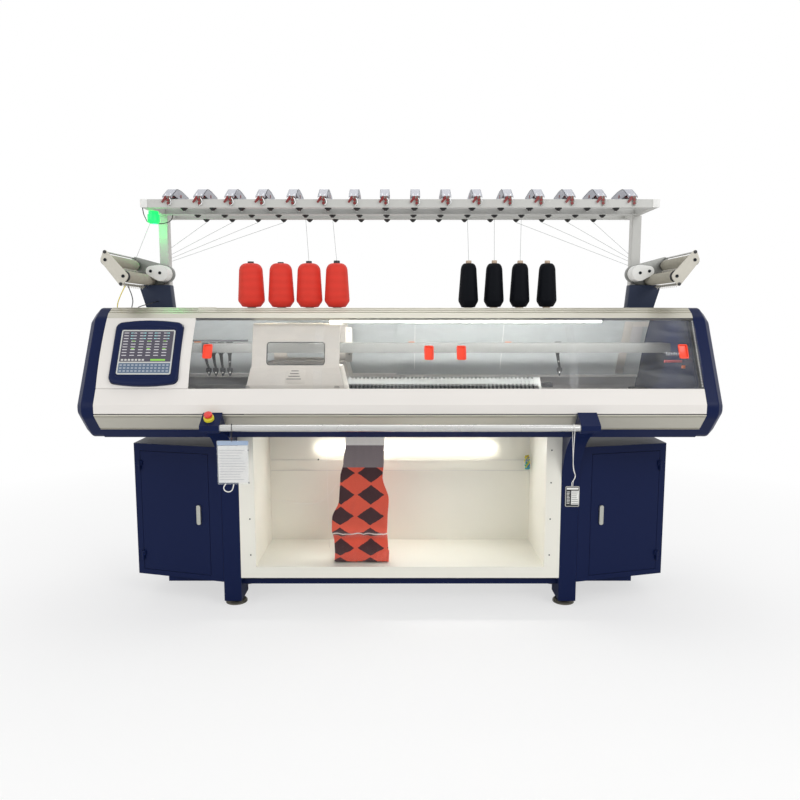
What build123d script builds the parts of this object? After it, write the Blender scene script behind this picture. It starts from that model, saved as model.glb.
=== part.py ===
from build123d import *
import os
from math import atan2, degrees, hypot, sqrt

# Flat knitting machine, free standing. Lengths in millimetres, +Z up, +X to the right of the
# person who faces the machine, the front of the machine faces -Y. The origin is on the floor,
# under the middle of the whole outline.

os.makedirs("parts", exist_ok=True)

# Distance of the needle gap behind the origin: the arms reach further forward than back
gap_y = 45

# Planes through the needle gap: side looks along X, face looks back along Y, floor is level.
# Below, a y value is measured from the needle gap and a z value from the floor.
side = Plane(origin=(0, gap_y, 0), x_dir=(0, 1, 0), z_dir=(1, 0, 0))
face = Plane(origin=(0, gap_y, 0), x_dir=(1, 0, 0), z_dir=(0, -1, 0))
floor = Plane(origin=(0, gap_y, 0))

# Body outline, seen from the side
body_length = 2700
cap_width = 80
nose_y = 450
nose_low = 932
nose_high = 978
under_y = 350
under_z = 826
shoulder_y = 267
shoulder_z = 1335
table_y = 200
table_z = 1380
cap_wall = 5
cap_bevel = 30
cap_round = 55
cap_soft = 12
skin = 3
inner_x = body_length / 2 - cap_width
# Cutting tools run this far past a face
overcut = 1

# Fabric box
box_half = 665
box_flange = box_half + 70
box_sill = 140
box_floor = 193
box_front = 200
box_back = 206
box_wall = 3

# Legs, base and feet
leg_width = 80
leg_x = box_flange + leg_width / 2
leg_front = 200
leg_depth = 140
foot_height = 29
foot_radius = 50
foot_stem = 14
leg_bridge_z = 700
arm_bend_z = 600
arm_nose_y = 520
arm_nose_z = 900
arm_top_z = arm_nose_z + 46
arm_chin_z = 868
arm_chin_cut = 12
arm_curve_out = 105
arm_curve_rise = 52
rail_low = 97
rail_high = 121
rail_depth = 60
rail_wall = 4
outer_rail_y = 95
outer_rail_reach = 280

# Operating rod and stop switch
rod_radius = 15
rod_y = 500
rod_z = 889
rod_stub = 8
rod_stub_length = 22
stop_offset = -7
stop_base_radius = 21
stop_base_height = 14
stop_stem_radius = 9
stop_cap_radius = 17
stop_cap_height = 12
stop_travel = 5
stop_floor = 3
stop_gap = 0.5
stop_base_edge = 2
stop_cap_edge = 5

# Fascia, lower extrusion
fascia_low = 936
fascia_high = 1043
ledge_depth = 40
extrusion_low = 866
extrusion_wall = 9
pan_drop = 2
groove_width = 5
groove_depth = 3
groove_shares = (0.07, 0.93)
fascia_return = 24
fascia_bend = 4

# Sliding doors: sheets bent to one arc, on an outer and an inner track
door_sheet = 3
door_bulge = 12
track_step = 14
door_lap = 20
door_fit = 0.3
cover_end = -inner_x + 385
door_gap = 1
cup_width = 40
cup_height = 66
cup_depth = 9
cup_rim = 1.5
cup_wall = 2
cup_inset = 68
cup_radius = 8
rear_cup_insets = ((213,), (80, 582))

# Control cover, bezel and screen
bezel_x = -inner_x + 197
bezel_along = -6
bezel_width = 290
bezel_height = 276
bezel_bulge = 13
bezel_front = 22
bezel_back = -14
bezel_radius = 26
bezel_edge = 6
screen_width = 228
screen_height = 206
screen_depth = 5
screen_radius = 8
screen_sink = 2

# Bed beams, needle beds, end plates, guide rails of the carriage
plate_width = 12
plate_inset = 46
plate_top_drop = 13
beam_outer = 210
beam_inner = 60
beam_ledge = 888
bed_half = box_half
bed_top = 1055
bed_gap = 4
bed_slope_length = 150
bed_thickness = 22
bed_fit = 0.3
trick_pitch = 19
trick_width = 9
trick_depth = 5
rack_travel = 25
guide_y = 185
guide_width = 20
guide_height = 17

# Take-down rollers under the needle gap
roller_radius = 22
roller_gap = 4
roller_z = 890
roller_stub = 8
bearing_width = 10
bearing_rise = 40

# Table, its edges and the lamps
board_thickness = 18
board_y = 196
edge_ledge_y = 170
upper_ledge = 22
edge_flat = 10
edge_run = 52
edge_drop = 26
edge_tilt = 32
edge_grooves = (0.2, 0.5, 0.8)
strip_high = inner_x - 381
strip_length = 1200
strip_y = 208
strip_depth = 14
strip_height = 10
lamp_x = 30
lamp_length = 895
lamp_radius = 13
lamp_z = 676
lamp_holder = 16
lamp_seat = 4
lamp_collar = 3

# Carriage
carriage_x = -455
cam_length = 450
cam_top_length = 386
cam_gap_y = 80
cam_front_y = 300
cam_step_z = 1045
cam_top_z = 1122
cam_clear = 8
cam_fit = 0.3
cam_edge = 14
cam_flare = 60
bridge_length = 382
bridge_wall = 6
bridge_foot_y = 282
bridge_head_y = 226
bridge_top_z = 1312
bridge_radius = 26
bridge_trim = 20
window_length = 249
window_low = 1134
window_high = 1228
window_radius = 12
vent_count = 5
vent_pitch = 13
vent_height = 42
vent_width = 5
vent_sink = 8
vent_drop = 10
clamp_width = 60
clamp_depth = 12

# Carriage drive: belt loop on two pulleys, motor at the right end
belt_y = 255
belt_z = 850
belt_height = 24
belt_thickness = 3
pulley_radius = 30
pulley_inset = 38
belt_margin = 2
idler_height = 14
motor_size = 60
motor_length = 108

# Yarn carrier rails and carriers
rail_pitch = 36
rail_thick = 14
rail_tall = 44
rail_mid_z = 1196
carrier_fit = 0.3
carrier_thick = 7
carrier_width = 30
carrier_arm = 12
carrier_sheet = 2.5
carrier_tip_z = 1062
carrier_lip = 4
carrier_neck = 14
carrier_taper = 22
tip_pitch = 4
left_carrier_insets = (365, 397, 429, 461)
right_carrier_inset = 508

# Side cabinets with their doors and locks
cabinet_inner_x = leg_x + leg_width / 2 + 1
cabinet_outer_x = cabinet_inner_x + 434
cabinet_front_inner = 200
cabinet_front_outer = 85
cabinet_back = 300
cabinet_low = 121
cabinet_high = 753
cabinet_wall = 3
panel_low = 145
panel_high = 719
panel_start = 31
panel_end = 386
panel_gap = 2
panel_depth = 18
panel_wall = 3
hinge_radius = 6
hinge_out = 7
hinge_pin = 2.5
pin_fit = 0.05
knuckle_height = 22
hinge_inset = 70
hinge_pin_gap = 2
lock_place = 334
lock_top = 478
lock_length = 92
lock_width = 20
lock_thick = 9
lock_pivot = 5
lock_stem = 7
lock_nut = 9
lock_nut_thick = 5
equipment_y = 240
equipment_thick = 4
equipment_depth = 120
equipment_boxes = ((-70, 123, 180, 240), (110, 123, 110, 240), (0, -167, 320, 160))

# Creel: posts, side arms and three rails over the table
post_x = inner_x - 155
post_y = 67
post_size = 45
post_foot = 70
post_foot_thick = 6
post_radius = 6
creel_rise = 433
creel_z = table_z + creel_rise
arm_size = 30
arm_radius = 4
creel_front_y = -200
creel_mid_y = 44
creel_back_y = 193
creel_leaf = 36
creel_lip = 35
creel_sheet = 3

# Tensioners and guide eyelets
tensioner_count = 16
tensioner_end_gap = 89
tensioner_width = 40
tensioner_sheet = 2
tensioner_reach = 6
tensioner_height = 58
tensioner_front_rise = 12
tensioner_back_rise = 45
tensioner_crown = (0.33, 0.6)
tensioner_round = 20
eyelet_end_gap = 155
eyelet_radius = 16
eyelet_height = 14
eyelet_taper = 40

# Signal lamp under the left creel arm
signal_y = -80
signal_radius = 27
signal_base = 14
signal_height = 54
signal_step = 5
signal_round = 14

# Side feeders
feed_upper = (post_x + 129, table_z + 199)
feed_lower = (post_x + 56, table_z + 131)
feed_radius = 25
feed_front = -314
feed_back = 14
feed_axle = 7
feed_strap = 8
feed_strap_radius = 20
feed_plate_radius = 30
feed_case = (post_x - 11, table_z + 161)
feed_case_radius = 40
feed_case_front = -60
feed_case_step = 3
feed_bar = 4
feed_bar_space = 33
feed_fit = 1
roller_reach = 6
stand_low = (post_x - 55, post_x + 69)
stand_high = (post_x - 45, post_x + 101)
stand_top = table_z + 108
stand_depth = 54

# Yarn cones on the table
cone_y = -50
cone_height = 201
cone_lift = 5
cone_wide_z = 28
cone_shoulder_z = 165
red_cones_x = (-687, -549, -419, -291)
black_cones_x = (316, 434, 553, 678)
red_cone_radii = (32, 61, 53, 20)
black_cone_radii = (30, 46, 38, 18)
cone_core_height = 14

# Knitted fabric that hangs into the box
fabric_x = -175
fabric_top_z = 912
fabric_top_half = 96
fabric_low_half = 146
fabric_thick = 3
fabric_fold_y = -134
fabric_bend_z = 430
fabric_slack_y = 38
fabric_slack_z = 262
fabric_rise = 8
fabric_tail = 150
fabric_taper_z = 330
fabric_bend = 7
fabric_clear = 0.5

# Yarn between the creel, the cones and the feeders
strand_radius = 0.8
strand_gap = 0.8
strand_side = 10
strand_behind = 2
left_strand_drops = (151, 181, 197, 211)
right_strand_drops = (181, 197, 211, 231)

# Outline of the body from the side, front half first
slope_length = hypot(nose_y - shoulder_y, shoulder_z - nose_high)
slope_y = (nose_y - shoulder_y) / slope_length
slope_z = (shoulder_z - nose_high) / slope_length
beam_x = inner_x - plate_width
fascia_y = nose_y - (fascia_high - nose_high) * slope_y / slope_z
extrusion_y = nose_y - (nose_low - extrusion_low) * (nose_y - under_y) / (nose_low - under_z)
front_outline = [
    (-under_y, under_z),
    (-nose_y, nose_low),
    (-nose_y, nose_high),
    (-shoulder_y, shoulder_z),
    (-table_y, table_z),
]
body_outline = front_outline + [(-y, z) for y, z in reversed(front_outline)]

# The sloping front, on which the doors, the cover and the bezel lie. A point on it is given
# by its distance along the slope from the middle and its distance out of the slope.
door_span = hypot(fascia_y - shoulder_y, shoulder_z - fascia_high)
door_half = door_span / 2 - door_fit
slope_mid_y = -(fascia_y + shoulder_y) / 2
slope_mid_z = (fascia_high + shoulder_z) / 2
arc_radius = (door_half ** 2 + door_bulge ** 2) / (2 * door_bulge)
arc_centre = door_bulge - arc_radius
slope = Plane(
    origin=(0, gap_y + slope_mid_y, slope_mid_z),
    x_dir=(1, 0, 0),
    z_dir=(0, -slope_z, slope_y),
)


def on_slope(along, out):
    """Point of the side view at a place of the sloping front."""
    y = slope_mid_y + along * slope_y - out * slope_z
    z = slope_mid_z + along * slope_z + out * slope_y
    return (y, z)


def arc_points(radius):
    """Lower end, middle and upper end of a door arc of this radius."""
    end = arc_centre + sqrt(radius ** 2 - door_half ** 2)
    return [on_slope(-door_half, end), on_slope(0, arc_centre + radius), on_slope(door_half, end)]


def door_section(depth):
    """Section of a bent sheet whose outer side lies this deep under the outer track."""
    outer = arc_points(arc_radius - depth)
    inner = arc_points(arc_radius - depth - door_sheet)
    with BuildSketch(mode=Mode.PRIVATE) as section:
        with BuildLine():
            ThreePointArc(*outer)
            Line(outer[2], inner[2])
            ThreePointArc(*inner)
            Line(inner[0], outer[0])
        make_face()
    return section.sketch


def closed_shape(points):
    """Face inside a closed run of straight lines."""
    with BuildSketch(mode=Mode.PRIVATE) as shape:
        with BuildLine():
            Polyline(*points, close=True)
        make_face()
    return shape.sketch


def bent_sheet(points, thickness, radius, turn=Side.RIGHT):
    """Section of a sheet folded along these points, its thickness laid to one side."""
    with BuildSketch(mode=Mode.PRIVATE) as section:
        with BuildLine():
            FilletPolyline(*points, radius=radius)
            offset(amount=thickness, side=turn)
        make_face()
    return section.sketch


# Levelling feet: a disc and a stem under each leg
foot_places = [(x, y) for x in (-leg_x, leg_x) for y in (-leg_front + leg_depth / 2,
                                                         leg_front - leg_depth / 2)]
with BuildPart() as levelling_feet:
    with BuildSketch(floor):
        with Locations(*foot_places):
            Circle(foot_radius)
    extrude(amount=foot_height / 2)
    chamfer(levelling_feet.faces().sort_by(Axis.Z)[-4:].edges(), foot_height / 4)
    with BuildSketch(floor.offset(foot_height / 2)):
        with Locations(*foot_places):
            Circle(foot_stem)
    extrude(amount=foot_height / 2)
levelling_feet.part.label = "levelling_feet"
export_step(levelling_feet.part, "parts/levelling_feet.step")

# Leg frames: two columns, a bridge and the curved arm that carries the operating rod
for name, x in (("left_leg_frame", -leg_x), ("right_leg_frame", leg_x)):
    inward = 1 if x < 0 else -1
    with BuildPart() as leg_frame:
        with BuildSketch(side.offset(x - leg_width / 2)):
            with BuildLine():
                Polyline(
                    (-leg_front, arm_bend_z),
                    (-leg_front, foot_height),
                    (-leg_front + leg_depth, foot_height),
                    (-leg_front + leg_depth, leg_bridge_z),
                    (leg_front - leg_depth, leg_bridge_z),
                    (leg_front - leg_depth, foot_height),
                    (leg_front, foot_height),
                    (leg_front, under_z),
                    (-under_y, under_z),
                    (-nose_y, nose_low),
                    (-nose_y, arm_top_z),
                    (-arm_nose_y, arm_nose_z),
                    (-arm_nose_y, arm_chin_z + arm_chin_cut),
                    (-arm_nose_y + arm_chin_cut, arm_chin_z),
                )
                ThreePointArc(
                    (-arm_nose_y + arm_chin_cut, arm_chin_z),
                    (-leg_front - arm_curve_out, (arm_chin_z + arm_bend_z) / 2 + arm_curve_rise),
                    (-leg_front, arm_bend_z),
                )
            make_face()
        extrude(amount=leg_width)
        with BuildSketch(side.offset(x + inward * leg_width / 2)):
            with Locations((-rod_y, rod_z)):
                Circle(rod_stub + pin_fit)
        extrude(amount=-inward * (rod_stub_length + pin_fit), mode=Mode.SUBTRACT)
    leg_frame.part.label = name
    export_step(leg_frame.part, f"parts/{name}.step")

# Base rails: channels between and outside the legs, front and rear
leg_inner_x = leg_x - leg_width / 2
leg_outer_x = leg_x + leg_width / 2
rail_mid_y = leg_front - leg_depth / 2
outer_rail_end = leg_outer_x + outer_rail_reach
rail_runs = (
    (-outer_rail_end, -leg_outer_x, outer_rail_y),
    (-leg_inner_x, leg_inner_x, rail_mid_y),
    (leg_outer_x, outer_rail_end, outer_rail_y),
)
with BuildPart() as base_rails:
    for low_x, high_x, y in rail_runs:
        with BuildSketch(side.offset(low_x)):
            with Locations((-y, (rail_low + rail_high) / 2), (y, (rail_low + rail_high) / 2)):
                Rectangle(rail_depth, rail_high - rail_low)
                Rectangle(rail_depth - 2 * rail_wall, rail_high - rail_low - 2 * rail_wall,
                          mode=Mode.SUBTRACT)
        extrude(amount=high_x - low_x)
base_rails.part.label = "base_rails"
export_step(base_rails.part, "parts/base_rails.step")

# Operating rod: a round bar between the arms, turning on its stubs
with BuildPart() as operating_rod:
    with BuildSketch(side.offset(-leg_inner_x + door_fit)):
        with Locations((-rod_y, rod_z)):
            Circle(rod_radius)
    extrude(amount=2 * (leg_inner_x - door_fit))
    with BuildSketch(side.offset(-leg_inner_x - rod_stub_length)):
        with Locations((-rod_y, rod_z)):
            Circle(rod_stub)
    extrude(amount=2 * (leg_inner_x + rod_stub_length))
operating_rod.part.label = "operating_rod"
export_step(operating_rod.part, "parts/operating_rod.step")

# Stop switch on the sloping top of the left arm: a round base and a sprung mushroom button
arm_slope = hypot(arm_nose_y - nose_y, arm_top_z - arm_nose_z)
arm_out = ((arm_nose_z - arm_top_z) / arm_slope, (arm_nose_y - nose_y) / arm_slope)
stop_plane = Plane(
    origin=(-leg_x + stop_offset, gap_y - (nose_y + arm_nose_y) / 2, (arm_top_z + arm_nose_z) / 2),
    x_dir=(1, 0, 0),
    z_dir=(0, arm_out[0], arm_out[1]),
)
with BuildPart() as stop_switch_base:
    with BuildSketch(stop_plane):
        Circle(stop_base_radius)
    extrude(amount=stop_base_height)
    chamfer(stop_switch_base.faces().sort_by(Axis.Z)[-1].edges(), stop_base_edge)
    with BuildSketch(stop_plane.offset(stop_base_height)):
        Circle(stop_stem_radius + pin_fit)
    extrude(amount=-(stop_base_height - stop_floor), mode=Mode.SUBTRACT)
stop_switch_base.part.label = "stop_switch_base"
export_step(stop_switch_base.part, "parts/stop_switch_base.step")

with BuildPart() as stop_button:
    with BuildSketch(stop_plane.offset(stop_floor + stop_travel + stop_gap)):
        Circle(stop_stem_radius)
    extrude(amount=stop_base_height - stop_floor)
    with BuildSketch(stop_plane.offset(stop_base_height + stop_travel + stop_gap)):
        Circle(stop_cap_radius)
    extrude(amount=stop_cap_height)
    fillet(stop_button.faces().sort_by(Axis.Z)[-1].edges(), stop_cap_edge)
stop_button.part.label = "stop_button"
export_step(stop_button.part, "parts/stop_button.step")

# End caps: bevelled shells with soft edges, open towards the machine
bevel_x = -inner_x - cap_width + cap_bevel
hollow_x = bevel_x + cap_wall / 2
with BuildPart() as left_end_cap:
    with BuildSketch(side.offset(-inner_x)):
        add(closed_shape(body_outline))
        fillet(vertices(), cap_round)
    extrude(amount=-cap_width)
    chamfer(left_end_cap.faces().sort_by(Axis.X)[0].edges(), cap_bevel)
    fillet(left_end_cap.faces().sort_by(Axis.X)[0].edges(), cap_soft)
    fillet(left_end_cap.edges().filter_by_position(Axis.X, bevel_x - skin, bevel_x + skin), cap_soft)
    for x, depth, lean in (
        (-inner_x, hollow_x + inner_x, 0),
        (hollow_x, -inner_x - cap_width + cap_wall - hollow_x, 45),
    ):
        with BuildSketch(side.offset(x)):
            add(closed_shape(body_outline))
            fillet(vertices(), cap_round)
            offset(amount=-cap_wall, mode=Mode.REPLACE)
        extrude(amount=depth, taper=lean, mode=Mode.SUBTRACT)
left_end_cap.part.label = "left_end_cap"
export_step(left_end_cap.part, "parts/left_end_cap.step")

with BuildPart() as right_end_cap:
    mirror(left_end_cap.part, about=Plane.YZ)
right_end_cap.part.label = "right_end_cap"
export_step(right_end_cap.part, "parts/right_end_cap.step")

# Front fascia: one folded sheet from the lower extrusion up to the door track
fascia_path = [
    (-nose_y + fascia_return, fascia_low + skin),
    (-nose_y, fascia_low + skin),
    (-nose_y, nose_high),
    (-fascia_y, fascia_high),
    (-fascia_y + ledge_depth * slope_z, fascia_high - ledge_depth * slope_y),
]
with BuildPart() as front_fascia:
    with BuildSketch(side.offset(-inner_x)):
        add(bent_sheet(fascia_path, skin, fascia_bend))
    extrude(amount=2 * inner_x)
front_fascia.part.label = "front_fascia"
export_step(front_fascia.part, "parts/front_fascia.step")

with BuildPart() as rear_fascia:
    mirror(front_fascia.part, about=face)
rear_fascia.part.label = "rear_fascia"
export_step(rear_fascia.part, "parts/rear_fascia.step")

# Lower extrusions: sloping grooved bars under the front and rear fascia
extrusion_run = nose_y - extrusion_y
extrusion_drop = nose_low - extrusion_low
extrusion_slant = hypot(extrusion_run, extrusion_drop)
with BuildPart() as lower_extrusions:
    with BuildSketch(side.offset(-inner_x)):
        add(closed_shape([
            (-nose_y, fascia_low),
            (-nose_y, nose_low),
            (-extrusion_y, extrusion_low),
            (
                -extrusion_y + extrusion_wall * extrusion_drop / extrusion_slant,
                extrusion_low + extrusion_wall * extrusion_run / extrusion_slant,
            ),
            (-nose_y + extrusion_wall, fascia_low),
        ]))
        for share in groove_shares:
            with Locations((-nose_y + extrusion_run * share, nose_low - extrusion_drop * share)):
                Rectangle(
                    groove_width,
                    2 * groove_depth,
                    rotation=-degrees(atan2(extrusion_drop, extrusion_run)),
                    mode=Mode.SUBTRACT,
                )
    extrude(amount=2 * inner_x)
    mirror(about=face)
lower_extrusions.part.label = "lower_extrusions"
export_step(lower_extrusions.part, "parts/lower_extrusions.step")

# Belly pan: a folded sheet under the body, cut out over the fabric box
pan_y = extrusion_y - pan_drop * (nose_y - under_y) / (nose_low - under_z)
with BuildPart() as belly_pan:
    with BuildSketch(side.offset(-inner_x)):
        with BuildLine():
            Polyline(
                (-pan_y, extrusion_low - pan_drop),
                (-under_y, under_z),
                (under_y, under_z),
                (pan_y, extrusion_low - pan_drop),
            )
            offset(amount=skin, side=Side.LEFT)
        make_face()
    extrude(amount=2 * inner_x)
    with BuildSketch(floor.offset(under_z - overcut)):
        Rectangle(2 * box_half, 2 * (box_front - cap_wall))
    extrude(amount=skin + 2 * overcut, mode=Mode.SUBTRACT)
belly_pan.part.label = "belly_pan"
export_step(belly_pan.part, "parts/belly_pan.step")

# Bed beams: front and rear beams under the needle beds, guide rails and end plates
bed_slant = bed_thickness / sqrt(2)
bed_run = bed_slope_length / sqrt(2)
bed_low = (bed_gap + bed_run - bed_slant, bed_top - bed_run - bed_slant)
beam_floor = under_z + skin
seat_sum = bed_low[0] + bed_low[1]
bearing_top = roller_z + bearing_rise
beam_points = [
    (-beam_outer, beam_floor),
    (-beam_inner, beam_floor),
    (-beam_inner, seat_sum - beam_inner),
    (-(seat_sum - beam_ledge), beam_ledge),
    (-beam_outer, beam_ledge),
]
plate_outline = [
    (-under_y + plate_inset, beam_floor),
    (-nose_y + plate_inset, nose_low + plate_inset / 2),
    (-nose_y + plate_inset, nose_high),
    (-shoulder_y + plate_inset, shoulder_z - plate_top_drop),
    (-edge_ledge_y + bed_fit, shoulder_z - plate_top_drop),
    (-edge_ledge_y + bed_fit, table_z - board_thickness),
]
with BuildPart() as bed_beams:
    with BuildSketch(side.offset(-beam_x)):
        add(closed_shape(beam_points))
    extrude(amount=2 * beam_x)
    with BuildSketch(side.offset(-beam_x)):
        with Locations((-guide_y, beam_ledge + guide_height / 2)):
            Rectangle(guide_width, guide_height)
    extrude(amount=2 * beam_x)
    mirror(about=face)
    for x in (-inner_x, beam_x):
        with BuildSketch(side.offset(x)):
            add(closed_shape(plate_outline + [(-y, z) for y, z in reversed(plate_outline)]))
        extrude(amount=plate_width)
    for x in (-bed_half - bearing_width, bed_half):
        with BuildSketch(side.offset(x)):
            with Locations((0, (beam_floor + bearing_top) / 2)):
                Rectangle(2 * beam_inner, bearing_top - beam_floor)
            for y in (-1, 1):
                with Locations((y * (roller_radius + roller_gap / 2), roller_z)):
                    Circle(roller_stub + pin_fit, mode=Mode.SUBTRACT)
        extrude(amount=bearing_width)
bed_beams.part.label = "bed_beams"
export_step(bed_beams.part, "parts/bed_beams.step")

# Take-down rollers: two long rollers that turn against each other and pull the fabric down
roller_half = bed_half - door_fit
for name, y in (("front_takedown_roller", -1), ("rear_takedown_roller", 1)):
    with BuildPart() as takedown_roller:
        with BuildSketch(side.offset(-roller_half)):
            with Locations((y * (roller_radius + roller_gap / 2), roller_z)):
                Circle(roller_radius)
        extrude(amount=2 * roller_half)
        with BuildSketch(side.offset(-bed_half - bearing_width)):
            with Locations((y * (roller_radius + roller_gap / 2), roller_z)):
                Circle(roller_stub)
        extrude(amount=2 * (bed_half + bearing_width))
    takedown_roller.part.label = name
    export_step(takedown_roller.part, f"parts/{name}.step")

# Needle beds: thick slanted plates, cut across with a trick for each group of needles
trick_count = int((2 * bed_half - 2 * rack_travel) / trick_pitch)
bed_plane = Plane(
    origin=(0, gap_y - bed_gap, bed_top),
    x_dir=(1, 0, 0),
    z_dir=(0, -1 / sqrt(2), 1 / sqrt(2)),
)
with BuildPart() as front_needle_bed:
    with BuildSketch(side.offset(-bed_half)):
        add(closed_shape([
            (-bed_gap, bed_top),
            (-bed_gap - bed_run, bed_top - bed_run),
            (-bed_low[0], bed_low[1]),
            (-bed_gap, bed_low[0] + bed_low[1] - bed_gap),
        ]))
    extrude(amount=2 * bed_half)
    with BuildSketch(bed_plane.offset(overcut)):
        with GridLocations(trick_pitch, 1, trick_count, 1):
            Rectangle(trick_width, 3 * bed_slope_length)
    extrude(amount=-trick_depth - overcut, mode=Mode.SUBTRACT)
front_needle_bed.part.label = "front_needle_bed"
export_step(front_needle_bed.part, "parts/front_needle_bed.step")

rear_bed = mirror(front_needle_bed.part, about=face, mode=Mode.PRIVATE)
with BuildPart() as rear_needle_bed:
    add(rear_bed.moved(Location((0, 0, bed_fit * sqrt(2)))))
rear_needle_bed.part.label = "rear_needle_bed"
export_step(rear_needle_bed.part, "parts/rear_needle_bed.step")

# Fabric box: white sheet, open in front and above, with a sill and side flanges
with BuildPart() as fabric_box:
    with BuildSketch(side.offset(-box_half - box_wall)):
        with BuildLine():
            Polyline(
                (-box_front, box_sill),
                (-box_front, box_floor),
                (box_back, box_floor),
                (box_back, under_z),
            )
            offset(amount=box_wall, side=Side.RIGHT)
        make_face()
    extrude(amount=2 * (box_half + box_wall))
    for x in (-box_half - box_wall, box_half):
        with BuildSketch(side.offset(x)):
            with Locations(((box_back - box_front) / 2, (box_floor + under_z) / 2)):
                Rectangle(box_front + box_back, under_z - box_floor)
        extrude(amount=box_wall)
    for x in (-(box_half + box_flange) / 2, (box_half + box_flange) / 2):
        with BuildSketch(face.offset(box_front - box_wall)):
            with Locations((x, (box_sill + under_z) / 2)):
                Rectangle(box_flange - box_half, under_z - box_sill)
        extrude(amount=box_wall)
fabric_box.part.label = "fabric_box"
export_step(fabric_box.part, "parts/fabric_box.step")

# Lamps: a tube on the back wall of the box and a strip under the front table edge
edge_inner = on_slope(door_half + door_fit, -upper_ledge)
with BuildPart() as lamps:
    with BuildSketch(side.offset(lamp_x - lamp_length / 2)):
        with Locations((box_back - lamp_holder, lamp_z)):
            Circle(lamp_radius)
    extrude(amount=lamp_length)
    for x in (lamp_x - lamp_length / 2, lamp_x + lamp_length / 2 - lamp_holder):
        with BuildSketch(side.offset(x)):
            with Locations((box_back - lamp_holder / 2 - lamp_seat, lamp_z)):
                Rectangle(lamp_holder + 2 * lamp_seat, 2 * (lamp_radius + lamp_collar))
        extrude(amount=lamp_holder)
    with BuildSketch(side.offset(strip_high - strip_length)):
        with Locations((-strip_y, edge_inner[1] - strip_height / 2)):
            Rectangle(strip_depth, strip_height)
    extrude(amount=strip_length)
lamps.part.label = "lamps"
export_step(lamps.part, "parts/lamps.step")

# Table edges: aluminium bars with grooves, their lower flange is the upper door track
edge_points = [
    (-shoulder_y, shoulder_z),
    edge_inner,
    (-edge_ledge_y, edge_inner[1]),
    (-edge_ledge_y, table_z - board_thickness),
    (-board_y, table_z - board_thickness),
    (-board_y, table_z),
    (-table_y - edge_flat, table_z),
    (-table_y - edge_run, table_z - edge_drop),
]
with BuildPart() as table_edges:
    with BuildSketch(side.offset(-inner_x)):
        add(closed_shape(edge_points))
        for share in edge_grooves:
            groove_y = -table_y - edge_flat - (edge_run - edge_flat) * share
            with Locations((groove_y, table_z - edge_drop * share)):
                Rectangle(groove_width, 2 * groove_depth, rotation=edge_tilt, mode=Mode.SUBTRACT)
    extrude(amount=2 * inner_x)
    mirror(about=face)
table_edges.part.label = "table_edges"
export_step(table_edges.part, "parts/table_edges.step")

with BuildPart() as table_top:
    with BuildSketch(floor.offset(table_z - board_thickness)):
        Rectangle(2 * inner_x, 2 * board_y)
    extrude(amount=board_thickness)
table_top.part.label = "table_top"
export_step(table_top.part, "parts/table_top.step")

# Sliding doors, front: sheet from the arc section, with a cup pull let into it
door_edges = [cover_end + i * (inner_x - cover_end) / 4 for i in range(5)]
door_plan = (
    ("front_door_1", door_edges[0] + door_gap, door_edges[1] + door_lap, 0, "low"),
    ("front_door_2", door_edges[1] - door_lap, door_edges[2] - door_gap, 1, "high"),
    ("front_door_3", door_edges[2] + door_gap, door_edges[3] + door_lap, 1, "low"),
    ("front_door_4", door_edges[3] - door_lap, door_edges[4] - door_gap, 0, "high"),
)
for name, low_x, high_x, track, end in door_plan:
    depth = track * track_step
    cup_x = low_x + cup_inset if end == "low" else high_x - cup_inset
    sheet_out = door_bulge - depth
    with BuildPart() as front_door:
        with BuildSketch(side.offset(low_x)):
            add(door_section(depth))
        extrude(amount=high_x - low_x)
        with BuildSketch(slope.offset(sheet_out + cup_rim)):
            with Locations((cup_x, 0)):
                RectangleRounded(cup_width, cup_height, cup_radius)
        extrude(amount=-(cup_rim + cup_depth))
        with BuildSketch(slope.offset(sheet_out + cup_rim)):
            with Locations((cup_x, 0)):
                RectangleRounded(cup_width - 2 * cup_wall, cup_height - 2 * cup_wall,
                                 cup_radius - cup_wall)
        extrude(amount=-(cup_rim + cup_depth - cup_wall), mode=Mode.SUBTRACT)
    front_door.part.label = name
    export_step(front_door.part, f"parts/{name}.step")

# Sliding doors, rear: two long sheets with the same section and pulls
rear_plan = (
    ("rear_door_1", -inner_x + door_gap, door_lap, 0, rear_cup_insets[0]),
    ("rear_door_2", -door_lap, inner_x - door_gap, 1, rear_cup_insets[1]),
)
for name, low_x, high_x, track, cups in rear_plan:
    depth = track * track_step
    sheet_out = door_bulge - depth
    with BuildPart() as rear_door:
        with BuildSketch(side.offset(low_x)):
            add(door_section(depth))
        extrude(amount=high_x - low_x)
        with BuildSketch(slope.offset(sheet_out + cup_rim)):
            with Locations(*[(low_x + inset, 0) for inset in cups]):
                RectangleRounded(cup_width, cup_height, cup_radius)
        extrude(amount=-(cup_rim + cup_depth))
        with BuildSketch(slope.offset(sheet_out + cup_rim)):
            with Locations(*[(low_x + inset, 0) for inset in cups]):
                RectangleRounded(cup_width - 2 * cup_wall, cup_height - 2 * cup_wall,
                                 cup_radius - cup_wall)
        extrude(amount=-(cup_rim + cup_depth - cup_wall), mode=Mode.SUBTRACT)
        mirror(about=face, mode=Mode.REPLACE)
    rear_door.part.label = name
    export_step(rear_door.part, f"parts/{name}.step")


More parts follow.
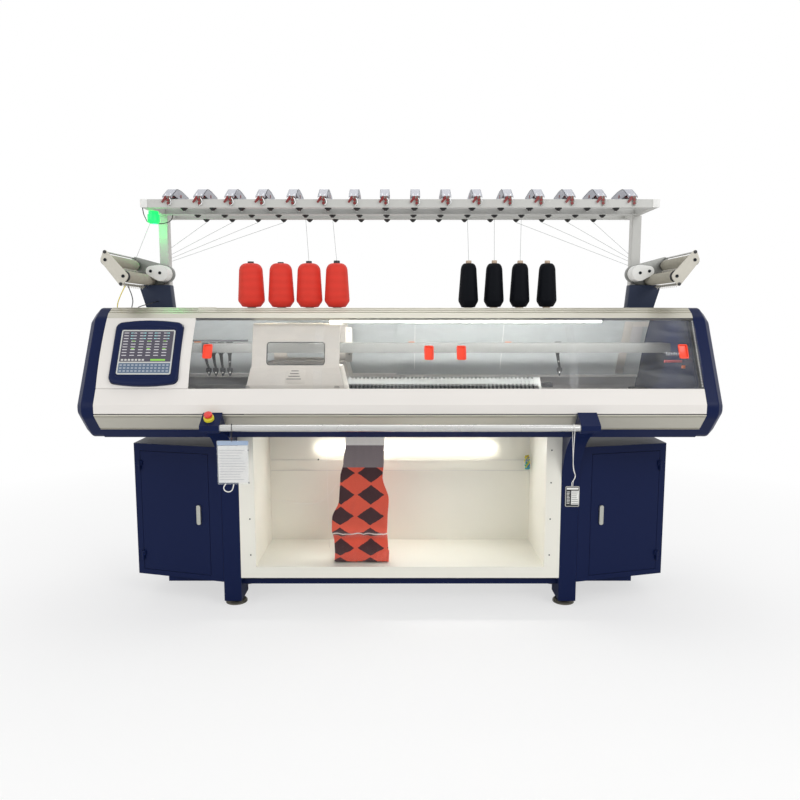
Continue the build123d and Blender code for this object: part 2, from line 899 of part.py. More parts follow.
def bezel_outline():
    """Outline of the bezel: upright sides, bulged top and bottom, round corners."""
    half_width = bezel_width / 2
    half_height = bezel_height / 2
    crown = half_height + bezel_bulge
    with BuildSketch(mode=Mode.PRIVATE) as outline:
        with BuildLine():
            Line((-half_width, half_height), (-half_width, -half_height))
            ThreePointArc((-half_width, -half_height), (0, -crown), (half_width, -half_height))
            Line((half_width, -half_height), (half_width, half_height))
            ThreePointArc((half_width, half_height), (0, crown), (-half_width, half_height))
        make_face()
        fillet(outline.vertices(), bezel_radius)
    return outline.sketch


# Control cover: the fixed sheet at the left, cut out for the bezel
with BuildPart() as control_cover:
    with BuildSketch(side.offset(-inner_x)):
        add(door_section(0))
    extrude(amount=cover_end + inner_x)
    with BuildSketch(slope.offset(bezel_front)):
        with Locations((bezel_x, bezel_along)):
            add(bezel_outline())
    extrude(amount=-(bezel_front - 2 * bezel_back), mode=Mode.SUBTRACT)
control_cover.part.label = "control_cover"
export_step(control_cover.part, "parts/control_cover.step")

with BuildPart() as screen_bezel:
    with BuildSketch(slope.offset(bezel_back)):
        with Locations((bezel_x, bezel_along)):
            add(bezel_outline())
    extrude(amount=bezel_front - bezel_back)
    chamfer(screen_bezel.faces().sort_by(Axis((0, 0, 0), slope.z_dir))[-1].edges(), bezel_edge)
    with BuildSketch(slope.offset(bezel_front)):
        with Locations((bezel_x, bezel_along)):
            RectangleRounded(screen_width, screen_height, screen_radius)
    extrude(amount=-screen_depth - screen_sink, mode=Mode.SUBTRACT)
screen_bezel.part.label = "screen_bezel"
export_step(screen_bezel.part, "parts/screen_bezel.step")

with BuildPart() as touch_screen:
    with BuildSketch(slope.offset(bezel_front - screen_depth - screen_sink)):
        with Locations((bezel_x, bezel_along)):
            RectangleRounded(screen_width, screen_height, screen_radius)
    extrude(amount=screen_depth)
touch_screen.part.label = "touch_screen"
export_step(touch_screen.part, "parts/touch_screen.step")

# Cam boxes of the carriage: wedges that ride over the needle beds on the guide rails
cam_slant = bed_top + bed_gap + cam_clear * sqrt(2)
cam_low = beam_ledge + guide_height + cam_fit
cam_section = [
    (-cam_gap_y, cam_slant - cam_gap_y),
    (-(cam_slant - cam_low), cam_low),
    (-cam_front_y, cam_low),
    (-cam_front_y, cam_step_z),
    (-cam_front_y + cam_edge, cam_top_z),
    (-cam_gap_y, cam_top_z),
]
with BuildPart() as cam_boxes:
    with BuildSketch(side.offset(carriage_x - cam_length / 2)):
        add(closed_shape(cam_section))
    extrude(amount=cam_length)
    with BuildSketch(face.offset(cam_gap_y - cam_clear)):
        with BuildLine():
            Polyline(
                (carriage_x - cam_length / 2, cam_low - overcut),
                (carriage_x + cam_length / 2, cam_low - overcut),
                (carriage_x + cam_length / 2, cam_step_z - cam_flare),
                (carriage_x + cam_top_length / 2, cam_top_z + overcut),
                (carriage_x - cam_top_length / 2, cam_top_z + overcut),
                (carriage_x - cam_length / 2, cam_step_z - cam_flare),
                close=True,
            )
        make_face()
    extrude(amount=cam_front_y, mode=Mode.INTERSECT)
    with BuildSketch(face.offset(cam_front_y + overcut)):
        with Locations((carriage_x, (cam_step_z + cam_top_z) / 2 - vent_drop)):
            with GridLocations(vent_pitch, 1, vent_count, 1):
                Rectangle(vent_width, vent_height)
    extrude(amount=-vent_sink, mode=Mode.SUBTRACT)
    mirror(about=face)
    with BuildSketch(floor.offset(belt_z + belt_height + cam_fit)):
        with Locations((carriage_x, belt_y - pulley_radius)):
            Rectangle(clamp_width, clamp_depth)
    extrude(until=Until.NEXT)
cam_boxes.part.label = "cam_boxes"
export_step(cam_boxes.part, "parts/cam_boxes.step")

# Bridge of the carriage: a bent sheet over the yarn rails with a window front and rear
with BuildPart() as carriage_bridge:
    with BuildSketch(side.offset(carriage_x - bridge_length / 2)):
        with BuildLine():
            FilletPolyline(
                (-bridge_foot_y, cam_top_z),
                (-bridge_head_y, bridge_top_z),
                (bridge_head_y, bridge_top_z),
                (bridge_foot_y, cam_top_z),
                radius=bridge_radius,
            )
            offset(amount=bridge_wall, side=Side.RIGHT)
        make_face()
        with Locations((0, cam_top_z - bridge_trim / 2)):
            Rectangle(3 * bridge_foot_y, bridge_trim, mode=Mode.SUBTRACT)
    extrude(amount=bridge_length)
    with BuildSketch(face.offset(nose_y)):
        with Locations((carriage_x, (window_low + window_high) / 2)):
            RectangleRounded(window_length, window_high - window_low, window_radius)
    extrude(amount=-2 * nose_y, mode=Mode.SUBTRACT)
carriage_bridge.part.label = "carriage_bridge"
export_step(carriage_bridge.part, "parts/carriage_bridge.step")

# Carriage drive: motor on the right pulley, idler bracket at the left
pulley_x = beam_x - pulley_inset
with BuildPart() as drive_motor:
    for x in (-pulley_x, pulley_x):
        with BuildSketch(floor.offset(belt_z)):
            with Locations((x, belt_y)):
                Circle(pulley_radius - belt_thickness)
        extrude(amount=belt_height)
    with BuildSketch(floor.offset(belt_z + belt_height)):
        with Locations((pulley_x, belt_y)):
            Rectangle(2 * pulley_inset, motor_size)
    extrude(amount=motor_length)
    with BuildSketch(floor.offset(belt_z + belt_height)):
        with Locations((-pulley_x, belt_y)):
            Rectangle(2 * pulley_inset, motor_size)
    extrude(amount=idler_height)
drive_motor.part.label = "drive_motor"
export_step(drive_motor.part, "parts/drive_motor.step")

with BuildPart() as drive_belt:
    with BuildSketch(floor.offset(belt_z + belt_margin)):
        with Locations((0, belt_y)):
            SlotCenterToCenter(2 * pulley_x, 2 * pulley_radius)
            SlotCenterToCenter(2 * pulley_x, 2 * (pulley_radius - belt_thickness),
                               mode=Mode.SUBTRACT)
    extrude(amount=belt_height - 2 * belt_margin)
drive_belt.part.label = "drive_belt"
export_step(drive_belt.part, "parts/drive_belt.step")

# Yarn carrier rails: four bars side by side, from end plate to end plate
rail_ys = [(i - 1.5) * rail_pitch for i in range(4)]
with BuildPart() as carrier_rails:
    with BuildSketch(side.offset(-beam_x)):
        with Locations(*[(y, rail_mid_z) for y in rail_ys]):
            Rectangle(rail_thick, rail_tall)
    extrude(amount=2 * beam_x)
carrier_rails.part.label = "carrier_rails"
export_step(carrier_rails.part, "parts/carrier_rails.step")

# Yarn carriers: a block that grips one side of a rail, and an arm down to the needle gap
carrier_places = [-inner_x + inset for inset in left_carrier_insets]
carrier_places.append(inner_x - right_carrier_inset)
carrier_grips = ("front", "rear", "front", "front", "rear")
for i, x in enumerate(carrier_places):
    rail = max(i - 1, 0)
    outward = -1 if carrier_grips[i] == "front" else 1
    track = 2 * rail + (outward + 1) // 2
    rail_side = rail_ys[rail] + outward * (rail_thick / 2 + carrier_fit)
    block_y = rail_side + outward * carrier_thick
    lip_y = rail_side - outward * rail_thick / 2
    tip_y = (track - 3.5) * tip_pitch
    low_z = rail_mid_z - rail_tall / 2 - carrier_fit
    high_z = rail_mid_z + rail_tall / 2 + carrier_fit
    arm_y = (rail_side + block_y) / 2
    with BuildPart() as yarn_carrier:
        with BuildSketch(side.offset(x - carrier_width / 2)):
            add(closed_shape([
                (rail_side, low_z),
                (lip_y, low_z),
                (lip_y, low_z - carrier_lip),
                (block_y, low_z - carrier_lip),
                (block_y, high_z + carrier_lip),
                (lip_y, high_z + carrier_lip),
                (lip_y, high_z),
                (rail_side, high_z),
            ]))
        extrude(amount=carrier_width)
        with BuildSketch(side.offset(x - carrier_arm / 2)):
            add(closed_shape([
                (arm_y - carrier_sheet / 2, low_z - carrier_lip),
                (arm_y + carrier_sheet / 2, low_z - carrier_lip),
                (arm_y + carrier_sheet / 2, low_z - carrier_neck),
                (tip_y + carrier_sheet / 2, carrier_tip_z + carrier_taper),
                (tip_y + carrier_sheet / 2, carrier_tip_z),
                (tip_y - carrier_sheet / 2, carrier_tip_z),
                (tip_y - carrier_sheet / 2, carrier_tip_z + carrier_taper),
                (arm_y - carrier_sheet / 2, low_z - carrier_neck),
            ]))
        extrude(amount=carrier_arm)
    yarn_carrier.part.label = f"yarn_carrier_{i + 1}"
    export_step(yarn_carrier.part, f"parts/yarn_carrier_{i + 1}.step")

# Cabinets: angled sheet housings outside the legs, with an opening for a hinged door
front_run = hypot(cabinet_outer_x - cabinet_inner_x, cabinet_front_inner - cabinet_front_outer)
run_x = (cabinet_outer_x - cabinet_inner_x) / front_run
run_y = (cabinet_front_inner - cabinet_front_outer) / front_run
cabinet_front = Plane(
    origin=(-cabinet_outer_x, gap_y - cabinet_front_outer, 0),
    x_dir=(run_x, -run_y, 0),
    z_dir=(-run_y, -run_x, 0),
)
cabinet_plan = [
    (-cabinet_inner_x, -cabinet_front_inner),
    (-cabinet_outer_x, -cabinet_front_outer),
    (-cabinet_outer_x, cabinet_back),
    (-cabinet_inner_x, cabinet_back),
]
hinge_zs = (panel_low + hinge_inset, panel_high - hinge_inset)
cabinet_mid_x = (cabinet_inner_x + cabinet_outer_x) / 2
cabinet_mid_z = (cabinet_low + cabinet_high) / 2


def on_cabinet(along, out):
    """Point of the plan view at a place along the angled cabinet front and out of it."""
    x = -cabinet_outer_x + along * run_x - out * run_y
    y = -cabinet_front_outer - along * run_y - out * run_x
    return (x, y)


with BuildPart() as left_cabinet:
    with BuildSketch(floor.offset(cabinet_low)):
        add(closed_shape(cabinet_plan))
    extrude(amount=cabinet_high - cabinet_low)
    with BuildSketch(floor.offset(cabinet_low + cabinet_wall)):
        add(closed_shape(cabinet_plan))
        offset(amount=-cabinet_wall, mode=Mode.REPLACE)
    extrude(amount=cabinet_high - cabinet_low - 2 * cabinet_wall, mode=Mode.SUBTRACT)
    with BuildSketch(cabinet_front.offset(overcut)):
        with Locations(((panel_start + panel_end) / 2, (panel_low + panel_high) / 2)):
            Rectangle(panel_end - panel_start, panel_high - panel_low)
    extrude(amount=-cabinet_wall - 2 * overcut, mode=Mode.SUBTRACT)
    with BuildSketch(face.offset(-equipment_y)):
        with Locations((-cabinet_mid_x, cabinet_mid_z)):
            Rectangle(cabinet_outer_x - cabinet_inner_x - cabinet_wall,
                      cabinet_high - cabinet_low - cabinet_wall)
    extrude(amount=equipment_thick)
    with BuildSketch(face.offset(-equipment_y + equipment_thick)):
        for x, z, width, height in equipment_boxes:
            with Locations((-cabinet_mid_x + x, cabinet_mid_z + z)):
                Rectangle(width, height)
    extrude(amount=equipment_depth)
    for z in hinge_zs:
        with BuildSketch(floor.offset(z - knuckle_height)):
            with Locations(on_cabinet(panel_start, hinge_out)):
                Circle(hinge_radius)
            add(closed_shape([
                on_cabinet(panel_start - 2 * hinge_radius, 0),
                on_cabinet(panel_start, 0),
                on_cabinet(panel_start, hinge_out),
                on_cabinet(panel_start - 2 * hinge_radius, hinge_out),
            ]))
        extrude(amount=knuckle_height)
        with BuildSketch(floor.offset(z)):
            with Locations(on_cabinet(panel_start, hinge_out)):
                Circle(hinge_pin)
        extrude(amount=knuckle_height - hinge_pin_gap)
left_cabinet.part.label = "left_cabinet"
export_step(left_cabinet.part, "parts/left_cabinet.step")

with BuildPart() as right_cabinet:
    mirror(left_cabinet.part, about=Plane.YZ)
right_cabinet.part.label = "right_cabinet"
export_step(right_cabinet.part, "parts/right_cabinet.step")

# Cabinet doors: folded pans set into the opening, on knuckles at their outer edge
with BuildPart() as left_cabinet_door:
    with BuildSketch(cabinet_front):
        with Locations(((panel_start + panel_end) / 2, (panel_low + panel_high) / 2)):
            Rectangle(panel_end - panel_start - 2 * panel_gap, panel_high - panel_low - 2 * panel_gap)
    extrude(amount=-panel_depth)
    with BuildSketch(cabinet_front.offset(-panel_wall)):
        with Locations(((panel_start + panel_end) / 2, (panel_low + panel_high) / 2)):
            Rectangle(panel_end - panel_start - 2 * panel_gap - 2 * panel_wall,
                      panel_high - panel_low - 2 * panel_gap - 2 * panel_wall)
    extrude(amount=-panel_depth, mode=Mode.SUBTRACT)
    with BuildSketch(cabinet_front):
        with Locations((lock_place, lock_top - lock_width / 2)):
            Circle(lock_pivot + pin_fit)
    extrude(amount=-panel_wall, mode=Mode.SUBTRACT)
    for z in hinge_zs:
        with BuildSketch(floor.offset(z + door_fit)):
            with Locations(on_cabinet(panel_start, hinge_out)):
                Circle(hinge_radius)
            add(closed_shape([
                on_cabinet(panel_start + panel_gap, 0),
                on_cabinet(panel_start + 2 * hinge_radius, 0),
                on_cabinet(panel_start + 2 * hinge_radius, hinge_out),
                on_cabinet(panel_start, hinge_out),
            ]))
            with Locations(on_cabinet(panel_start, hinge_out)):
                Circle(hinge_pin + pin_fit, mode=Mode.SUBTRACT)
        extrude(amount=knuckle_height)
left_cabinet_door.part.label = "left_cabinet_door"
export_step(left_cabinet_door.part, "parts/left_cabinet_door.step")

with BuildPart() as right_cabinet_door:
    mirror(left_cabinet_door.part, about=Plane.YZ)
right_cabinet_door.part.label = "right_cabinet_door"
export_step(right_cabinet_door.part, "parts/right_cabinet_door.step")

# Lock handles: a lever on a pivot through the door, with a nut behind
with BuildPart() as left_lock_handle:
    with BuildSketch(cabinet_front.offset(door_fit)):
        with Locations((lock_place, lock_top - lock_length / 2)):
            RectangleRounded(lock_width, lock_length, lock_width / 2 - 1)
    extrude(amount=lock_thick)
    with BuildSketch(cabinet_front.offset(door_fit)):
        with Locations((lock_place, lock_top - lock_width / 2)):
            Circle(lock_pivot)
    extrude(amount=-panel_wall - lock_stem)
    with BuildSketch(cabinet_front.offset(-panel_wall - door_fit)):
        with Locations((lock_place, lock_top - lock_width / 2)):
            RegularPolygon(lock_nut, 6)
    extrude(amount=-lock_nut_thick)
left_lock_handle.part.label = "left_lock_handle"
export_step(left_lock_handle.part, "parts/left_lock_handle.step")

with BuildPart() as right_lock_handle:
    mirror(left_lock_handle.part, about=Plane.YZ)
right_lock_handle.part.label = "right_lock_handle"
export_step(right_lock_handle.part, "parts/right_lock_handle.step")

# Creel frame: two posts on feet and a side arm on each post
creel_inner_x = post_x - arm_size / 2
with BuildPart() as creel_frame:
    with BuildSketch(floor.offset(table_z)):
        with Locations((-post_x, post_y), (post_x, post_y)):
            Rectangle(post_foot, post_foot)
    extrude(amount=post_foot_thick)
    with BuildSketch(floor.offset(table_z + post_foot_thick)):
        with Locations((-post_x, post_y), (post_x, post_y)):
            RectangleRounded(post_size, post_size, post_radius)
    extrude(amount=creel_z - table_z - post_foot_thick)
    with BuildSketch(face.offset(-creel_front_y)):
        with Locations((-post_x, creel_z + creel_lip / 2), (post_x, creel_z + creel_lip / 2)):
            RectangleRounded(arm_size, creel_lip, arm_radius)
    extrude(amount=creel_front_y - creel_back_y)
creel_frame.part.label = "creel_frame"
export_step(creel_frame.part, "parts/creel_frame.step")

# Creel rails: angle bars between the side arms, each with an upright lip
rail_lips = ((creel_front_y, 1), (creel_mid_y, -1), (creel_back_y, -1))
with BuildPart() as creel_rails:
    for y, turn in rail_lips:
        with BuildSketch(side.offset(-creel_inner_x)):
            add(closed_shape([
                (y, creel_z),
                (y + turn * creel_leaf, creel_z),
                (y + turn * creel_leaf, creel_z + creel_sheet),
                (y + turn * creel_sheet, creel_z + creel_sheet),
                (y + turn * creel_sheet, creel_z + creel_lip),
                (y, creel_z + creel_lip),
            ]))
        extrude(amount=2 * creel_inner_x)
creel_rails.part.label = "creel_rails"
export_step(creel_rails.part, "parts/creel_rails.step")

# Tensioners: sheet hoods side by side, from the front lip to the middle lip


def row_places(end_gap):
    """Even places along the creel that keep a gap to its ends."""
    pitch = 2 * (creel_inner_x - end_gap) / (tensioner_count - 1)
    return [(i - (tensioner_count - 1) / 2) * pitch for i in range(tensioner_count)]


tensioner_xs = row_places(tensioner_end_gap)
tensioner_low = creel_z + creel_lip
tensioner_high = tensioner_low + tensioner_height
tensioner_front = creel_front_y - tensioner_reach
tensioner_back = creel_mid_y + tensioner_reach
tensioner_length = tensioner_back - tensioner_front
with BuildSketch() as hood_side:
    add(closed_shape([
        (tensioner_front, tensioner_low),
        (tensioner_front, tensioner_low + tensioner_front_rise),
        (tensioner_front + tensioner_length * tensioner_crown[0], tensioner_high),
        (tensioner_front + tensioner_length * tensioner_crown[1], tensioner_high),
        (tensioner_back, tensioner_low + tensioner_back_rise),
        (tensioner_back, tensioner_low),
    ]))
    fillet(vertices().group_by(Axis.Y)[-1], tensioner_round)
with BuildSketch() as hood_hollow:
    offset(hood_side.sketch, amount=-tensioner_sheet)
    with Locations(((tensioner_front + tensioner_back) / 2, tensioner_low)):
        Rectangle(tensioner_length - 2 * tensioner_sheet, 3 * tensioner_sheet)
with BuildPart() as tensioners:
    for x in tensioner_xs:
        with BuildSketch(side.offset(x - tensioner_width / 2)):
            add(hood_side.sketch)
        extrude(amount=tensioner_width)
        with BuildSketch(side.offset(x - tensioner_width / 2 + tensioner_sheet)):
            add(hood_hollow.sketch)
        extrude(amount=tensioner_width - 2 * tensioner_sheet, mode=Mode.SUBTRACT)
tensioners.part.label = "tensioners"
export_step(tensioners.part, "parts/tensioners.step")

# Guide eyelets: cups under the three rails, one row of them on each rail
eyelet_xs = row_places(eyelet_end_gap)
eyelet_ys = [y + turn * creel_leaf / 2 for y, turn in rail_lips]
with BuildPart() as guide_eyelets:
    with BuildSketch(floor.offset(creel_z)):
        for y in eyelet_ys:
            with Locations(*[(x, y) for x in eyelet_xs]):
                RegularPolygon(eyelet_radius, 8)
    extrude(amount=-eyelet_height, taper=eyelet_taper)
guide_eyelets.part.label = "guide_eyelets"
export_step(guide_eyelets.part, "parts/guide_eyelets.step")

# Signal lamp: base and round dome that hang under the left side arm
with BuildPart() as signal_lamp:
    with BuildSketch(Plane(origin=(-post_x, gap_y + signal_y, creel_z),
                           x_dir=(1, 0, 0), z_dir=(0, -1, 0))):
        with BuildLine():
            Polyline(
                (0, 0),
                (signal_radius - signal_step, 0),
                (signal_radius - signal_step, -signal_base),
                (signal_radius, -signal_base),
                (signal_radius, signal_round - signal_height),
            )
            RadiusArc(
                (signal_radius, signal_round - signal_height),
                (signal_radius - signal_round, -signal_height),
                signal_round,
            )
            Polyline((signal_radius - signal_round, -signal_height), (0, -signal_height), (0, 0))
        make_face()
    revolve(axis=Axis((-post_x, gap_y + signal_y, 0), (0, 0, 1)))
signal_lamp.part.label = "signal_lamp"
export_step(signal_lamp.part, "parts/signal_lamp.step")

# Side feeders: a rear plate and case on the creel post, a front strap, three bars and a stand
feed_middle = ((feed_upper[0] + feed_lower[0]) / 2, (feed_upper[1] + feed_lower[1]) / 2)
bar_places = (
    (feed_upper[0], feed_upper[1] + feed_bar_space),
    feed_middle,
    (feed_lower[0] + feed_bar_space / 3, feed_lower[1] - feed_bar_space),
)
post_front = post_y - post_size / 2
with BuildPart() as feeder_frames:
    with BuildSketch(face.offset(stand_depth / 2)):
        add(closed_shape([
            (-stand_low[0], table_z),
            (-stand_low[1], table_z),
            (-stand_high[1], stand_top),
            (-stand_high[0], stand_top),
        ]))
    extrude(amount=-stand_depth)
    with BuildSketch(face.offset(-feed_back)):
        with Locations((-feed_upper[0], feed_upper[1]), (-feed_lower[0], feed_lower[1])):
            Circle(feed_plate_radius)
        with Locations((-feed_case[0], feed_case[1])):
            Circle(feed_case_radius)
        with Locations((-bar_places[0][0], bar_places[0][1]), (-bar_places[2][0], bar_places[2][1])):
            Circle(2 * feed_bar)
        make_hull()
    extrude(amount=feed_back - post_front)
    with BuildSketch(face.offset(-feed_back)):
        with Locations((-feed_case[0], feed_case[1])):
            Circle(feed_case_radius - feed_case_step)
    extrude(amount=feed_back - feed_case_front)
    with BuildSketch(face.offset(-feed_front)):
        with Locations((-feed_upper[0], feed_upper[1]), (-feed_lower[0], feed_lower[1])):
            Circle(feed_strap_radius)
        with Locations((-bar_places[0][0], bar_places[0][1]), (-bar_places[2][0], bar_places[2][1])):
            Circle(2 * feed_bar)
        make_hull()
    extrude(amount=feed_strap)
    with BuildSketch(face.offset(-feed_front)):
        with Locations(*[(-x, z) for x, z in bar_places]):
            Circle(feed_bar)
    extrude(amount=feed_front - feed_back)
    with BuildSketch(face.offset(-feed_back + feed_fit)):
        with Locations((-feed_upper[0], feed_upper[1]), (-feed_lower[0], feed_lower[1])):
            Circle(feed_radius + feed_fit)
    extrude(amount=feed_back - feed_front - feed_fit, mode=Mode.SUBTRACT)
    with BuildSketch(face.offset(-feed_front + feed_strap)):
        with Locations((-feed_upper[0], feed_upper[1]), (-feed_lower[0], feed_lower[1])):
            Circle(feed_axle + pin_fit)
    extrude(amount=feed_front - feed_strap - post_front, mode=Mode.SUBTRACT)
    mirror(about=Plane.YZ)
feeder_frames.part.label = "feeder_frames"
export_step(feeder_frames.part, "parts/feeder_frames.step")

feed_plan = (
    ("left_upper_feed_roller", -feed_upper[0], feed_upper[1]),
    ("left_lower_feed_roller", -feed_lower[0], feed_lower[1]),
    ("right_upper_feed_roller", feed_upper[0], feed_upper[1]),
    ("right_lower_feed_roller", feed_lower[0], feed_lower[1]),
)
for name, x, z in feed_plan:
    with BuildPart() as feed_roller:
        with BuildSketch(face.offset(-feed_front - feed_fit)):
            with Locations((x, z)):
                Circle(feed_radius)
        extrude(amount=feed_front - feed_back + 2 * feed_fit)
        with BuildSketch(face.offset(-feed_front + feed_strap + roller_reach)):
            with Locations((x, z)):
                Circle(feed_axle)
        extrude(amount=feed_front - feed_strap - roller_reach - post_front)
    feed_roller.part.label = name
    export_step(feed_roller.part, f"parts/{name}.step")

# Yarn cones: wound packages on their tubes, standing on the table
with BuildPart() as yarn_cones:
    for places, radii in ((red_cones_x, red_cone_radii), (black_cones_x, black_cone_radii)):
        foot, widest, shoulder, core = radii
        arch = core + (shoulder - core) / sqrt(2)
        arch_z = cone_shoulder_z + (cone_height - cone_shoulder_z) / sqrt(2)
        for x in places:
            with BuildSketch(Plane(origin=(x, gap_y + cone_y, table_z),
                                   x_dir=(1, 0, 0), z_dir=(0, -1, 0))):
                with BuildLine():
                    Polyline(
                        (0, cone_height + cone_core_height),
                        (0, 0),
                        (core, 0),
                        (core, cone_lift),
                        (foot, cone_lift),
                        (widest, cone_wide_z),
                        (shoulder, cone_shoulder_z),
                    )
                    ThreePointArc((shoulder, cone_shoulder_z), (arch, arch_z), (core, cone_height))
                    Polyline(
                        (core, cone_height),
                        (core, cone_height + cone_core_height),
                        (0, cone_height + cone_core_height),
                    )
                make_face()
            revolve(axis=Axis((x, gap_y + cone_y, 0), (0, 0, 1)))
yarn_cones.part.label = "yarn_cones"
export_step(yarn_cones.part, "parts/yarn_cones.step")

# Knitted fabric: one sheet that hangs from between the rollers and folds on the box floor
fabric_half = fabric_thick / 2
with BuildPart() as knitted_fabric:
    with BuildSketch(side.offset(fabric_x - fabric_low_half)):
        with BuildLine():
            FilletPolyline(
                (-fabric_half, fabric_top_z),
                (-fabric_half, fabric_bend_z),
                (fabric_fold_y + fabric_slack_y, fabric_slack_z),
                (fabric_fold_y, box_floor + fabric_rise),
                (fabric_fold_y + fabric_tail, box_floor + fabric_clear),
                radius=fabric_bend,
            )
            offset(amount=fabric_thick, side=Side.LEFT)
        make_face()
    extrude(amount=2 * fabric_low_half)
    with BuildSketch(face.offset(box_back)):
        with BuildLine():
            Polyline(
                (fabric_x - fabric_top_half, fabric_top_z + overcut),
                (fabric_x + fabric_top_half, fabric_top_z + overcut),
                (fabric_x + fabric_low_half, fabric_taper_z),
                (fabric_x + fabric_low_half, box_floor),
                (fabric_x - fabric_low_half, box_floor),
                (fabric_x - fabric_low_half, fabric_taper_z),
                close=True,
            )
        make_face()
    extrude(amount=-2 * box_back, both=True, mode=Mode.INTERSECT)
knitted_fabric.part.label = "knitted_fabric"
export_step(knitted_fabric.part, "parts/knitted_fabric.step")

# Yarn strands: straight stretches between eyelets, cones and feeders
strand_low = creel_z - eyelet_height - strand_gap
cone_tip = table_z + cone_height + cone_core_height + strand_gap
strand_back = post_y + post_size / 2 + strand_behind
strand_runs = []
for i, drop in enumerate(left_strand_drops):
    strand_runs.append(((eyelet_xs[i], eyelet_ys[2], strand_low),
                        (-post_x + strand_side, strand_back, creel_z - drop)))
for i, drop in enumerate(right_strand_drops):
    strand_runs.append(((eyelet_xs[-1 - i], eyelet_ys[2], strand_low),
                        (post_x - strand_side, strand_back, creel_z - drop)))
for i, x in zip((4, 5, 10, 11, 12), red_cones_x[2:] + black_cones_x[:3]):
    strand_runs.append(((eyelet_xs[i], eyelet_ys[1], strand_low), (x, cone_y, cone_tip)))
with BuildPart() as yarn_strands:
    for start, end in strand_runs:
        low = Vector(start[0], start[1] + gap_y, start[2])
        high = Vector(end[0], end[1] + gap_y, end[2])
        with BuildSketch(Plane(origin=low, z_dir=high - low)):
            RegularPolygon(strand_radius, 4)
        extrude(amount=(high - low).length)
yarn_strands.part.label = "yarn_strands"
export_step(yarn_strands.part, "parts/yarn_strands.step")
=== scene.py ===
from math import cos, dist, pi, radians, sin, sqrt
import bmesh
import bpy
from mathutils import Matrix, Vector


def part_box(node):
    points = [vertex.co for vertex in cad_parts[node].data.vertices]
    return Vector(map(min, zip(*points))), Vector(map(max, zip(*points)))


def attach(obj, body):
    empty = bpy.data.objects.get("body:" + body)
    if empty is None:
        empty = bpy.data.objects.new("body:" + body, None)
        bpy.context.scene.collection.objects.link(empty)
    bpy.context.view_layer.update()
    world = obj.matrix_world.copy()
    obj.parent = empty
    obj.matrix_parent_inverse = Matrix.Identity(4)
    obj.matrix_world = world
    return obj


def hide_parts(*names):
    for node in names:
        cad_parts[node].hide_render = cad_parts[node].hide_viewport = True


bl_info = {
    "name": "Flat knitting machine",
    "version": (1, 0, 0),
    "blender": (4, 5, 0),
    "location": "View3D > Sidebar > Knitting",
    "description": "Finishes and fittings of a flat knitting machine around its packed frame",
    "category": "Object",
}

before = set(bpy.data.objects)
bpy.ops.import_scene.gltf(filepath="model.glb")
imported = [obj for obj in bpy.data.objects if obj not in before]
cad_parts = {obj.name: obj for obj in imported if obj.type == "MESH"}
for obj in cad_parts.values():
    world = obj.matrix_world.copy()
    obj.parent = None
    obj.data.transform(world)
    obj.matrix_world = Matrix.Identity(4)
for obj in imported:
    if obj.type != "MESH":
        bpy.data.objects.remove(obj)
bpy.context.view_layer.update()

# Places are worked out in millimetres: x to the right, y back from the needle gap, z up
MM = 0.001
GAP_Y = 45

# The sloping front: middle of the door arc, its direction, half its length and its bulge
SLOPE_Y, SLOPE_Z = 0.4562, 0.8899
SLOPE_MID_Y, SLOPE_MID_Z = -341.84, 1189.0
DOOR_HALF, DOOR_BULGE, DOOR_SHEET, TRACK_STEP = 163.76, 12.0, 3.0, 14.0
ARC_RADIUS = (DOOR_HALF ** 2 + DOOR_BULGE ** 2) / (2 * DOOR_BULGE)

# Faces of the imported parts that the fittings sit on, and how the fittings repeat
TABLE_Z = 1380  # top of the table
INNER_X = 1270  # inner face of the end caps
CREEL_Z, CREEL_LIP = 1813, 35  # underside of the creel rails and their height
CREEL_FRONT_Y, CREEL_MID_Y, CREEL_BACK_Y = -200, 44, 193
POST_X, POST_Y, POST_SIZE = 1115, 67, 45
TENSIONER_PITCH, EYELET_PITCH, TENSIONERS = 134.8, 126, 16
CROWN_CORNER = 20  # how far the roof line of a tensioner is rounded off
EYELET_INSET = 18  # from the outer face of a creel rail to the middle of its eyelets
PACKAGE_Y = -50  # the row of yarn packages
PULL_INSET = 68  # from the end of a front door to the middle of its pull
HOLE_INSET = 3  # the hole behind a pull, in from the pull's outline
BEZEL_X, BEZEL_ALONG = -1073, -6
BEZEL_WIDTH, BEZEL_HEIGHT, BEZEL_BULGE, BEZEL_RADIUS = 290, 276, 13, 26
SCREEN_OUT = 20  # face of the screen over the slope
CARRIAGE_X, CAM_FRONT_Y, CAM_TOP_Z = -455, -300, 1122
VENT_FOOT_Y, VENT_FOOT_Z = -286, 1045  # where the cam box starts to lean back
RAIL_PITCH, RAIL_HALF, RAIL_Z = 36, 7, 1196  # carrier rails: pitch, half thickness, middle
CARRIER_HALF = 22  # half the height of a carrier's slider
NEEDLE_FIELD, BED_HALF = 1250, 652  # length with needles, half the length of a bed
BED_TOP_Z, BED_HALF_GAP = 1055, 4  # upper edge of a bed and its distance from the gap's middle
FABRIC_X, BOX_FLOOR = -175, 0.1953  # middle of the cloth, and how low it may lie, in metres
EDGE_WIDTH = 80.7  # of the sloping table edge

# Side feeders, as (x, z) of their axes on the right side
FEED_UPPER, FEED_LOWER, FEED_CASE = (1244, 1579), (1171, 1511), (1104, 1541)
UPPER_BAR = (FEED_UPPER[0], FEED_UPPER[1] + 33)
LOWER_BAR = (FEED_LOWER[0] + 11, FEED_LOWER[1] - 33)
FEED_EAR = (FEED_CASE[0] + 42, FEED_CASE[1] + 8)
FEED_RADIUS, FEED_FRONT, FEED_BACK, RIBS = 25, -314, 14, 40
STRAP, ROLLER_GAP = 8, 8  # thickness of the front strap; from a roller's end to its plate


